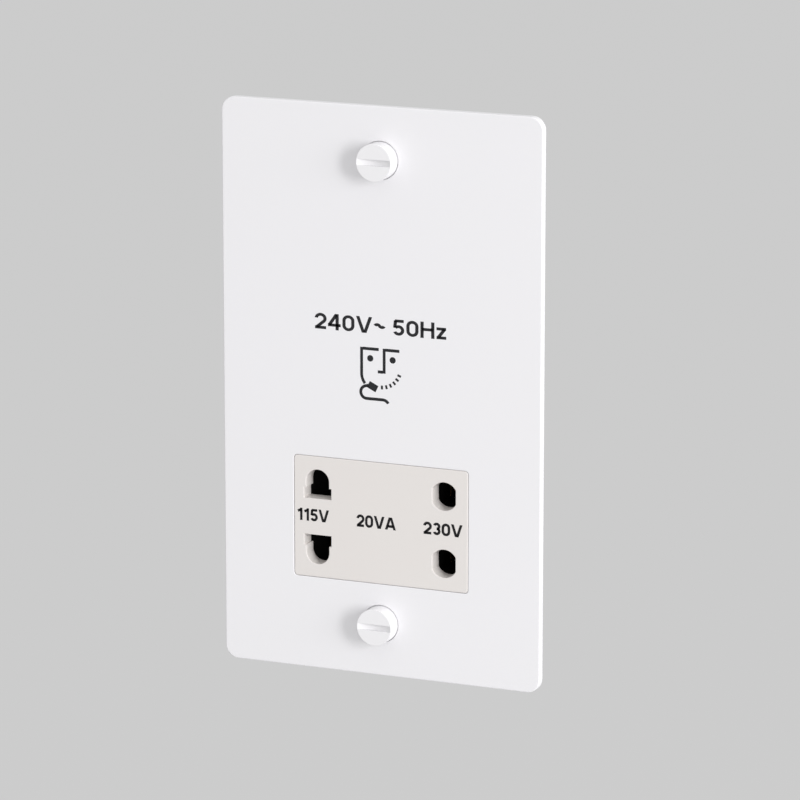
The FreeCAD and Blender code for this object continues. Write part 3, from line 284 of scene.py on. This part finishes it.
# Phosphor bronze strip: reddish gold with rolling lines
BRONZE = Finish("phosphor_bronze_strip", "#C89A63", "#B58650", roughness=0.28, spread=0.06, patch_mm=4.0,
                grain_mm=0.25, relief_mm=0.003, relief=Relief.ROLLED, metallic=1.0)
# Machined brass bar: yellow, with fine drawing lines along the bar
BRASS = Finish("machined_brass", "#D3B36A", "#BF9D55", roughness=0.27, spread=0.06, patch_mm=5.0,
               grain_mm=0.3, relief_mm=0.004, relief=Relief.ROLLED, metallic=1.0)
# Paper laminate board: tan, faintly clouded
LAMINATE = Finish("paper_laminate", "#B99A5C", "#A98A4C", roughness=0.5, spread=0.06, patch_mm=6.0,
                  grain_mm=0.4, relief_mm=0.006)
# Phenolic cut-out case: brownish black
PHENOLIC = Finish("phenolic_case", "#2C2926", "#35312D", roughness=0.45, spread=0.06, patch_mm=6.0,
                  grain_mm=0.4, relief_mm=0.008)
# Silicon steel laminations: blue-grey sheets, drawn 0.9 mm thick instead of 0.5 so that they show; the darker
# colour in the gaps between sheets is painted shade
LAMINATIONS = Finish("silicon_steel_sheets", "#74777C", "#686B70", roughness=0.42, spread=0.08,
                     patch_mm=9.0, grain_mm=0.9, relief_mm=0.08, relief=Relief.STACK, painted_groove_shade="#3A3B3E",
                     metallic=0.9)
# Enamelled copper wire: orange-brown turns, drawn 0.7 mm apart instead of 0.25 so that they show; the dark
# brown between turns is painted shade
WINDING = Finish("enamelled_copper_wire", "#B5652F", "#A3572A", roughness=0.3, spread=0.05, patch_mm=7.0,
                 grain_mm=0.7, relief_mm=0.12, relief=Relief.TURNS, painted_groove_shade="#5A2A14", metallic=0.8)
# Two-part screen ink on the plate: charcoal, dull
PLATE_INK = Finish("charcoal_screen_ink", "#242427", "#2A2A2D", roughness=0.6, spread=0.04, patch_mm=5.0,
                   grain_mm=0.4, relief_mm=0.002, ior=1.35)
# The same kind of ink on the moulding: black, dull
FIGURE_INK = Finish("black_screen_ink", "#161618", "#1C1C1E", roughness=0.6, spread=0.04, patch_mm=5.0,
                    grain_mm=0.4, relief_mm=0.002, ior=1.35)


def dress(finish: Finish, *nodes: str) -> None:
    """Gives CAD nodes a finish.

    Args:
        finish: The finish.
        nodes: Names of CAD nodes.
    """
    material = finish.build()
    for name in nodes:
        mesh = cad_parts[name].data
        mesh.materials.clear()
        mesh.materials.append(material)
        LOG.info("%s: %s", name, finish.name)


def piece(name: str, shape: bmesh.types.BMesh, finish: Finish) -> bpy.types.Object:
    """Makes a finished piece of a bmesh that is already in place, and lets it ride on the unit.

    Args:
        name: Name of the piece.
        shape: Its mesh, in metres; it is freed.
        finish: Its finish.

    Returns:
        The piece's object, at the origin.
    """
    bmesh.ops.recalc_face_normals(shape, faces=shape.faces)
    mesh = bpy.data.meshes.new(name)
    shape.to_mesh(mesh)
    shape.free()
    mesh.materials.append(finish.build())
    made = bpy.data.objects.new(name, mesh)
    bpy.context.scene.collection.objects.link(made)
    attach(made, UNIT)
    LOG.info("%s: %d faces, %s", name, len(mesh.polygons), finish.name)
    return made


@dataclass
class Pen:
    """Lays flat strokes of ink on the front face, in millimetres from a place on it.

    The middle of the ink's film stands out by a share of its thickness, so that its back is sunk in the face.
    """

    stroke: float
    up: float
    film: float = 0.03
    out_share: float = 0.3
    arc_step: float = 5.0
    least_steps: int = 6
    dot_sides: int = 40
    shape: bmesh.types.BMesh = field(default_factory=bmesh.new)

    def laid(self, across: float, up: float) -> Vector:
        """A point of the drawing on the face, in metres."""
        return Vector((across, FACE_Y - self.out_share * self.film, self.up + up)) * MM

    def bar(self, start: tuple[float, float] | Vector, stop: tuple[float, float] | Vector,
            width: float | None = None) -> None:
        """Draws a straight stroke with square ends.

        Args:
            start: One end, across and up.
            stop: Other end.
            width: Width, if not the usual stroke.
        """
        a, b = self.laid(*start), self.laid(*stop)
        run = b - a
        turn = Matrix.Rotation(math.atan2(-run.z, run.x), 4, "Y")
        size = Matrix.Diagonal((run.length, self.film * MM, (width or self.stroke) * MM, 1.0))
        bmesh.ops.create_cube(self.shape, size=1.0, matrix=Matrix.Translation((a + b) / 2) @ turn @ size)

    def arc(self, centre: tuple[float, float], radius: float, start: float, stop: float) -> None:
        """Draws a stroke along an arc by spinning the nib round its centre.

        Args:
            centre: Centre of the arc, across and up.
            radius: Radius of the stroke's middle.
            start: First angle in degrees, counter-clockwise from the right.
            stop: Last angle.
        """
        middle = self.laid(*centre)
        size = Matrix.Diagonal((self.stroke * MM, self.film * MM, 1.0, 1.0))
        aim = Matrix.Rotation(-math.radians(start), 4, "Y")
        place = Matrix.Translation(middle) @ aim @ Matrix.Translation((radius * MM, 0, 0))
        nib = bmesh.ops.create_grid(self.shape, x_segments=1, y_segments=1, size=0.5,
                                    matrix=place @ size)["verts"]
        geometry = set(nib)
        for vert in nib:
            geometry.update(vert.link_edges)
            geometry.update(vert.link_faces)
        steps = max(self.least_steps, round(abs(stop - start) / self.arc_step))
        bmesh.ops.spin(self.shape, geom=list(geometry), cent=middle, axis=(0, -1, 0),
                       angle=math.radians(stop - start), steps=steps, use_merge=False)

    def dot(self, centre: tuple[float, float], radius: float) -> None:
        """Draws a round dot.

        Args:
            centre: Its middle, across and up.
            radius: Its radius.
        """
        place = Matrix.Translation(self.laid(*centre)) @ Matrix.Rotation(math.pi / 2, 4, "X")
        bmesh.ops.create_cone(self.shape, cap_ends=True, segments=self.dot_sides, radius1=radius * MM,
                              radius2=radius * MM, depth=self.film * MM, matrix=place)

    def trim(self, bottom: float, top: float) -> None:
        """Cuts all strokes off level at two heights.

        Args:
            bottom: Lower height.
            top: Upper height.
        """
        for up, way in ((bottom, -1.0), (top, 1.0)):
            everything = [*self.shape.verts, *self.shape.edges, *self.shape.faces]
            bmesh.ops.bisect_plane(self.shape, geom=everything, plane_co=self.laid(0.0, up),
                                   plane_no=(0, 0, way), clear_outer=True)
            rims = [edge for edge in self.shape.edges if edge.is_boundary]
            bmesh.ops.holes_fill(self.shape, edges=rims)


@dataclass(frozen=True)
class Glyph:
    """A figure or letter as strokes, in cap heights from its lower left corner.

    A bar is start across, start up, stop across, stop up. An arc is centre across, centre up, radius,
    first angle and last angle.
    """

    width: float
    bars: tuple[tuple[float, float, float, float], ...] = ()
    arcs: tuple[tuple[float, float, float, float, float], ...] = ()


# Plain upright grotesque figures, drawn along the middle of a stroke a fifth as wide as they are tall
GLYPHS = {
    "0": Glyph(0.70, ((0.10, 0.35, 0.10, 0.65), (0.60, 0.35, 0.60, 0.65)),
               ((0.35, 0.65, 0.25, 0, 180), (0.35, 0.35, 0.25, 180, 360))),
    "1": Glyph(0.50, ((0.37, 0.0, 0.37, 1.0), (0.06, 0.74, 0.37, 0.86))),
    "2": Glyph(0.68, ((0.555, 0.51, 0.14, 0.13), (0.03, 0.10, 0.66, 0.10)), ((0.35, 0.65, 0.25, -35, 172),)),
    "3": Glyph(0.66, (), ((0.34, 0.70, 0.20, -90, 160), (0.34, 0.31, 0.21, -162, 90))),
    "4": Glyph(0.72, ((0.52, 0.0, 0.52, 1.0), (0.0, 0.30, 0.72, 0.30), (0.48, 0.97, 0.07, 0.30))),
    "5": Glyph(0.68, ((0.14, 0.90, 0.63, 0.90), (0.17, 0.92, 0.13, 0.47)), ((0.34, 0.33, 0.23, -155, 140),)),
    "V": Glyph(0.90, ((0.04, 1.15, 0.445, -0.10), (0.86, 1.15, 0.455, -0.10))),
    "A": Glyph(0.92, ((0.04, -0.15, 0.455, 1.10), (0.88, -0.15, 0.465, 1.10), (0.20, 0.28, 0.72, 0.28))),
    "H": Glyph(0.80, ((0.10, 0.0, 0.10, 1.0), (0.70, 0.0, 0.70, 1.0), (0.10, 0.53, 0.70, 0.53))),
    "z": Glyph(0.58, ((0.02, 0.64, 0.55, 0.64), (0.02, 0.10, 0.56, 0.10), (0.46, 0.62, 0.12, 0.12))),
    "~": Glyph(0.66, (), ((0.20, 0.42, 0.15, 30, 150), (0.46, 0.57, 0.15, 210, 330))),
    " ": Glyph(0.22),
}


@dataclass
class PrintedMark:
    """A printed line of figures on the front, with sizes and places in millimetres."""

    name: str
    words: str
    cap: float
    width: float
    across: float
    up: float
    slot: str
    weight: float
    ink: Finish
    gap: float = 0.09

    def build(self) -> bpy.types.Object:
        """Draws the figures one after another and fits the line to its width.

        Returns:
            The printed piece.
        """
        natural = sum(GLYPHS[sign].width + self.gap for sign in self.words) - self.gap
        wide = self.width / (natural * self.cap)
        pen = Pen(self.weight * self.cap, self.up - self.cap / 2)
        reach = -natural / 2
        for sign in self.words:
            glyph = GLYPHS[sign]
            for ends in glyph.bars:
                a, b, c, d = (value * self.cap for value in ends)
                pen.bar((reach * self.cap + a, b), (reach * self.cap + c, d))
            for left, high, radius, first, last in glyph.arcs:
                pen.arc(((reach + left) * self.cap, high * self.cap), radius * self.cap, first, last)
            reach += glyph.width + self.gap
        pen.trim(0.0, self.cap)
        bmesh.ops.scale(pen.shape, verts=pen.shape.verts, vec=(wide, 1.0, 1.0))
        bmesh.ops.translate(pen.shape, verts=pen.shape.verts, vec=(self.across * MM, 0.0, 0.0))
        return piece(self.name, pen.shape, self.ink)


@dataclass
class ShaverSign:
    """The usual sign for a shaver outlet, printed on the plate, in millimetres and degrees.

    The lead's bars and arcs are listed as a glyph's are.
    """

    stroke: float = 0.78
    raised: float = 0.8
    cheek: float = -5.15
    nose: float = 1.1
    brow_top: float = 11.2
    brow_up: float = 10.87
    brow_stops: tuple[float, float] = (-0.4, 5.3)
    cheek_foot: float = 4.3
    cheek_bend: float = 3.8
    cheek_arc: tuple[float, float] = (180, 221)
    nose_foot: float = 4.75
    nostril_across: float = -0.65
    nostril_up: float = 5.08
    eye: float = 0.84
    eye_up: float = 8.4
    eyes_across: tuple[float, float] = (-2.75, 3.45)
    chin: float = 5.3
    chin_across: float = 0.3
    chin_up: float = 6.4
    bristles: int = 6
    bristle: float = 1.0
    bristle_width: float = 0.56
    bristle_start: float = -88.0
    bristle_step: float = 13.4
    shaver_place: tuple[float, float] = (-2.1, 1.1)
    shaver_half: float = 1.32
    shaver_width: float = 1.85
    shaver_tilt: float = -26.0
    lead_bars: tuple[tuple[float, float, float, float], ...] = (
        (-3.3, 1.36, -4.16, 1.12), (-3.75, -2.11, 0.7, -2.11))
    lead_arcs: tuple[tuple[float, float, float, float, float], ...] = (
        (-3.75, -0.47, 1.64, 105, 270), (0.7, -3.91, 1.8, 90, 32))

    def build(self) -> bpy.types.Object:
        """Draws the sign's strokes and dots.

        Returns:
            The printed piece.
        """
        pen = Pen(self.stroke, self.raised)
        self.face(pen)
        self.beard(pen)
        self.shaver(pen)
        return piece("shaver_sign", pen.shape, PLATE_INK)

    def face(self, pen: Pen) -> None:
        """Draws brows, cheek, nose and eyes.

        Args:
            pen: The pen.
        """
        half = self.stroke / 2
        # The cheek bends in at its foot, and each brow starts at the side of the stroke below it
        pen.bar((self.cheek, self.brow_top), (self.cheek, self.cheek_foot))
        pen.arc((self.cheek + self.cheek_bend, self.cheek_foot), self.cheek_bend, *self.cheek_arc)
        pen.bar((self.nose, self.brow_top), (self.nose, self.nose_foot))
        for start, stop in zip((self.cheek, self.nose), self.brow_stops):
            pen.bar((start + half, self.brow_up), (stop, self.brow_up))
        pen.bar((self.nostril_across, self.nostril_up), (self.nose - half, self.nostril_up))
        for across in self.eyes_across:
            pen.dot((across, self.eye_up), self.eye)

    def beard(self, pen: Pen) -> None:
        """Draws the bristles along the chin.

        Args:
            pen: The pen.
        """
        for step in range(self.bristles):
            turn = math.radians(self.bristle_start + self.bristle_step * step)
            out = Vector((math.cos(turn), math.sin(turn)))
            middle = Vector((self.chin_across, self.chin_up)) + out * self.chin
            reach = out * self.bristle / 2
            pen.bar(middle - reach, middle + reach, self.bristle_width)

    def shaver(self, pen: Pen) -> None:
        """Draws the shaver, and its lead in one loop.

        Args:
            pen: The pen.
        """
        tilt = math.radians(self.shaver_tilt)
        along = Vector((math.cos(tilt), math.sin(tilt))) * self.shaver_half
        centre = Vector(self.shaver_place)
        pen.bar(centre - along, centre + along, self.shaver_width)
        for a, b, c, d in self.lead_bars:
            pen.bar((a, b), (c, d))
        for across, up, radius, first, last in self.lead_arcs:
            pen.arc((across, up), radius, first, last)


@dataclass
class Thread:
    """A rolled thread on a plain shank along y, in millimetres."""

    name: str
    radius: float
    pitch: float
    start: float
    stop: float
    crest: float
    places: tuple[tuple[float, float], ...]
    sunk: float = 0.03
    foot_share: float = 0.42
    steps: int = 24

    def build(self, finish: Finish, slot: str) -> bpy.types.Object:
        """Winds one ridge round each shank.

        Args:
            finish: Finish of the ridges.
            slot: Material slot of the record; it is not used.

        Returns:
            All the ridges as one piece.
        """
        shape = bmesh.new()
        count = round((self.stop - self.start) / self.pitch * self.steps)
        rise = Vector((0, self.pitch / self.steps, 0)) * MM
        # A three-sided ring is a ridge's section: its point is the crest, its far side the foot. A ring of
        # radius 1 is 1.5 tall
        tall = (self.crest + self.sunk) / 1.5
        foot = self.foot_share * self.pitch / math.cos(math.pi / 6)
        section = Matrix(((0, tall, 0, 0), (foot, 0, 0, 0), (0, 0, 1, 0), (0, 0, 0, 1 / MM))) * MM
        for across, up in self.places:
            place = Vector((across + self.radius - self.sunk + tall / 2, self.start, up)) * MM
            ring = bmesh.ops.create_circle(shape, cap_ends=True, segments=3, radius=1.0,
                                           matrix=Matrix.Translation(place) @ section)["verts"]
            face = ring[0].link_faces[0]
            bmesh.ops.spin(shape, geom=[face, *face.edges, *face.verts], cent=Vector((across, 0, up)) * MM,
                           axis=(0, 1, 0), dvec=rise, angle=math.tau * count / self.steps, steps=count,
                           use_merge=False)
        return piece(self.name, shape, finish)


@dataclass
class CentringSpring:
    """Round-wire spring that brings the shutter back to the middle, in millimetres.

    It stands for the CAD's rigid coil. Both pockets that hold it are as long as it is, so a slide either
    way leaves it the same shorter room.
    """

    outside: float = 3.6
    wire: float = 0.45
    length: float = 14.96
    open_turns: int = 5
    end_pitch: float = 0.47
    travel: float = 3.5
    play: float = 0.03
    sides: int = 10
    steps: int = 32

    def build(self) -> bpy.types.Object:
        """Winds the wire along x with a closed turn at each end.

        Returns:
            The spring.
        """
        low, high = (Vector(corner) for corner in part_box("shutter_spring"))
        middle = (low + high) / 2
        run = self.length - self.wire
        open_pitch = (run - 2 * self.end_pitch) / self.open_turns
        shape = bmesh.new()
        place = middle + Vector((-run / 2, (self.outside - self.wire) / 2, 0)) * MM
        ring = bmesh.ops.create_circle(shape, cap_ends=True, segments=self.sides, radius=self.wire / 2 * MM,
                                       matrix=Matrix.Translation(place))["verts"]
        face = ring[0].link_faces[0]
        last = [face, *face.edges, *face.verts]
        for turns, pitch in ((1, self.end_pitch), (self.open_turns, open_pitch), (1, self.end_pitch)):
            last = bmesh.ops.spin(shape, geom=last, cent=middle, axis=(1, 0, 0),
                                  dvec=Vector((pitch / self.steps, 0, 0)) * MM, angle=math.tau * turns,
                                  steps=turns * self.steps, use_merge=False)["geom_last"]
        for side in shape.faces:
            side.smooth = len(side.verts) == 4
        made = piece("centring_spring", shape, SPRING_WIRE)
        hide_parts("shutter_spring")
        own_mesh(made)
        return made


@dataclass
class FacePlate:
    """Painted plate with its screws, washers, seal and printing."""

    fixing_up: float = 60.3
    thread_radius: float = 1.75
    thread_pitch: float = 0.6
    thread_start: float = 0.5
    thread_reach: float = 24.4
    thread_crest: float = 0.16
    rating: str = "240V~ 50Hz"
    rating_cap: float = 4.2
    rating_width: float = 36.5
    rating_up: float = 17.8
    rating_weight: float = 0.18

    def build(self) -> None:
        """Dresses the CAD pieces and adds threads and printing."""
        dress(POWDER_COAT, "front_plate")
        dress(SCREW_COAT, "fixing_screw_top", "fixing_screw_bottom")
        dress(NYLON, "screw_retainer_top", "screw_retainer_bottom")
        dress(EPDM, "wall_gasket")
        places = ((0.0, self.fixing_up), (0.0, -self.fixing_up))
        Thread("fixing_threads", self.thread_radius, self.thread_pitch, self.thread_start, self.thread_reach,
               self.thread_crest, places).build(ZINC, "zinc_steel")
        PrintedMark("supply_marking", self.rating, self.rating_cap, self.rating_width, 0.0, self.rating_up,
                    "painted_white", self.rating_weight, PLATE_INK).build()
        ShaverSign().build()


@dataclass
class OutletModule:
    """Off-white moulding with its outlets, the shutter behind them and the contacts.

    A mark is its piece's name, its words, its place across, its height above the outlets' middle, its width.
    """

    figure_cap: float = 3.25
    figure_weight: float = 0.21
    marks: tuple[tuple[str, str, float, float, float], ...] = (
        ("outlet_marking_115", "115V", -18.9, 0.4, 8.9),
        ("rating_marking", "20VA", -1.2, 0.25, 10.9),
        ("outlet_marking_230", "230V", 17.3, 0.2, 10.75))

    def build(self) -> None:
        """Dresses the CAD pieces and prints the outlets' figures."""
        dress(UREA, "socket_front")
        dress(BLACK_PBT, "interlock_shutter")
        dress(SPRING_WIRE, "shutter_spring")
        CentringSpring().build()
        # The carrier's almost black colour is partly painted shade for the outlets' depth
        dress(CHARCOAL_PA_WITH_PAINTED_SHADE, "contact_carrier")
        dress(BRONZE, "contact_115_upper", "contact_115_lower", "contact_230_upper", "contact_230_lower")
        for name, words, across, up, width in self.marks:
            PrintedMark(name, words, self.figure_cap, width, across, SOCKET_Z + up, "moulded_white",
                        self.figure_weight, FIGURE_INK).build()


@dataclass
class IsolatingSupply:
    """Board, cut-out and transformer inside the case."""

    def build(self) -> None:
        """Dresses the CAD pieces."""
        dress(LAMINATE, "circuit_board")
        dress(PHENOLIC, "thermal_cutout")
        dress(LAMINATIONS, "core_e_stack", "core_i_stack")
        dress(BOBBIN_PA, "winding_bobbin")
        dress(WINDING, "primary_winding", "secondary_winding")
        dress(BRASS, "bobbin_pins")


@dataclass
class RearCase:
    """Case with its studs, nuts and supply terminals."""

    stud_across: float = 32.6
    stud_up: float = 47.0
    stud_radius: float = 1.5
    thread_pitch: float = 0.5
    thread_crest: float = 0.12
    point: float = 0.25

    def build(self) -> None:
        """Dresses the CAD pieces and adds the studs' threads."""
        dress(CASE_PLASTIC, "rear_housing")
        dress(ZINC, "plate_studs", "stud_nuts", "block_screws")
        dress(GREY_PA, "terminal_block")
        dress(BRASS, "terminal_live", "terminal_neutral", "earth_terminal", "terminal_screws")
        corners = tuple((x * self.stud_across, z * self.stud_up) for x in (-1, 1) for z in (-1, 1))
        nut_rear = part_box("stud_nuts")[1][1] / MM
        stud_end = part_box("plate_studs")[1][1] / MM
        Thread("stud_threads", self.stud_radius, self.thread_pitch, nut_rear, stud_end - self.point,
               self.thread_crest, corners).build(ZINC, "zinc_steel")


@dataclass(frozen=True)
class SoftBox:
    """A lamp with a wide face, in metres and watts."""

    name: str
    place: tuple[float, float, float]
    width: float
    height: float
    power: float


@dataclass
class Studio:
    """Floor, light and camera, in metres and degrees."""

    backdrop: str = "#CBCBCB"
    floor_up: float = -0.75
    floor_half: float = 14.0
    floor_glow: float = 1.03
    floor_share: float = 0.9
    aim: tuple[float, float, float] = (0.005469, -0.0028, -0.000909)
    distance: float = 1.2
    yaw: float = 23.37
    pitch: float = 12.68
    lens: float = 212.92
    sensor: float = 36.0
    nearest: float = 0.05
    ambient: float = 0.805
    lamps: tuple[SoftBox, ...] = (
        SoftBox("key_lamp", (1.98, -1.27, 0.46), 0.45, 1.1, 22.5),
        SoftBox("side_lamp", (2.3, -0.85, 0.4), 1.2, 1.2, 17.2))

    def build(self) -> None:
        """Makes the stage, the light and the camera."""
        scene = bpy.context.scene
        scene.view_settings.view_transform = "Standard"
        self.floor()
        self.world(scene)
        for box in self.lamps:
            self.lamp(box)
        self.camera(scene)

    def seen(self, tree: bpy.types.NodeTree) -> bpy.types.NodeSocket:
        """Adds a test for rays that see the backdrop: from the camera, from gloss or through glass.

        Args:
            tree: Node tree to add to.

        Returns:
            One for such rays and nought for the others.
        """
        path = add_node(tree, "ShaderNodeLightPath").outputs
        either = add_node(tree, "ShaderNodeMath", {"operation": "MAXIMUM"}, {
            0: path["Is Camera Ray"], 1: path["Is Glossy Ray"]}).outputs[0]
        return add_node(tree, "ShaderNodeMath", {"operation": "MAXIMUM"}, {
            0: either, 1: path["Is Transmission Ray"]}).outputs[0]

    def floor(self) -> None:
        """Makes the pale floor, which shows the backdrop's grey and keeps a soft shadow."""
        shape = bmesh.new()
        bmesh.ops.create_grid(shape, x_segments=1, y_segments=1, size=self.floor_half,
                              matrix=Matrix.Translation((0, 0, self.floor_up)))
        mesh = bpy.data.meshes.new("floor")
        shape.to_mesh(mesh)
        shape.free()
        material = bpy.data.materials.new("matt_grey_floor")
        material.use_nodes = True
        tree = material.node_tree
        tree.nodes.clear()
        matt = add_node(tree, "ShaderNodeBsdfDiffuse", None, {"Color": linear(self.backdrop)})
        even = add_node(tree, "ShaderNodeEmission", None, {
            "Color": linear(self.backdrop), "Strength": self.floor_glow})
        share = add_node(tree, "ShaderNodeMath", {"operation": "MULTIPLY"}, {
            0: self.seen(tree), 1: self.floor_share}).outputs[0]
        mixed = add_node(tree, "ShaderNodeMixShader", None, {
            0: share, 1: matt.outputs[0], 2: even.outputs[0]})
        add_node(tree, "ShaderNodeOutputMaterial", None, {"Surface": mixed.outputs[0]})
        mesh.materials.append(material)
        made = bpy.data.objects.new("floor", mesh)
        bpy.context.scene.collection.objects.link(made)

    def world(self, scene: bpy.types.Scene) -> None:
        """Makes the even light from all round, and the grey that the camera sees.

        Args:
            scene: The scene.
        """
        world = bpy.data.worlds.new("studio")
        world.use_nodes = True
        tree = world.node_tree
        tree.nodes.clear()
        light = add_node(tree, "ShaderNodeBackground", None, {
            "Color": (1, 1, 1, 1), "Strength": self.ambient})
        shown = add_node(tree, "ShaderNodeBackground", None, {
            "Color": linear(self.backdrop), "Strength": 1.0})
        mixed = add_node(tree, "ShaderNodeMixShader", None, {
            0: self.seen(tree), 1: light.outputs[0], 2: shown.outputs[0]})
        add_node(tree, "ShaderNodeOutputWorld", None, {"Surface": mixed.outputs[0]})
        scene.world = world

    def lamp(self, box: SoftBox) -> None:
        """Hangs a soft box that faces the object.

        Args:
            box: The soft box.
        """
        data = bpy.data.lights.new(box.name, "AREA")
        data.shape = "RECTANGLE"
        data.size = box.width
        data.size_y = box.height
        data.energy = box.power
        made = bpy.data.objects.new(box.name, data)
        made.location = box.place
        made.rotation_euler = (-Vector(box.place)).to_track_quat("-Z", "Y").to_euler()
        bpy.context.scene.collection.objects.link(made)

    def camera(self, scene: bpy.types.Scene) -> None:
        """Sets the camera at the photograph's view.

        Args:
            scene: The scene.
        """
        data = bpy.data.cameras.new("camera")
        data.lens = self.lens
        data.sensor_width = self.sensor
        data.clip_start = self.nearest
        made = bpy.data.objects.new("camera", data)
        yaw, pitch = math.radians(self.yaw), math.radians(self.pitch)
        back = Vector((math.sin(yaw) * math.cos(pitch), -math.cos(yaw) * math.cos(pitch), math.sin(pitch)))
        made.location = Vector(self.aim) + back * self.distance
        made.rotation_euler = (-back).to_track_quat("-Z", "Y").to_euler()
        scene.collection.objects.link(made)
        scene.camera = made


def main() -> None:
    """Builds the sub-assemblies in order, then the studio."""
    logging.basicConfig(level=logging.INFO, format="%(message)s")
    for part in (FacePlate(), OutletModule(), IsolatingSupply(), RearCase(), Studio()):
        LOG.info("%s", type(part).__name__)
        part.build()


if __name__ == "__main__":
    main()
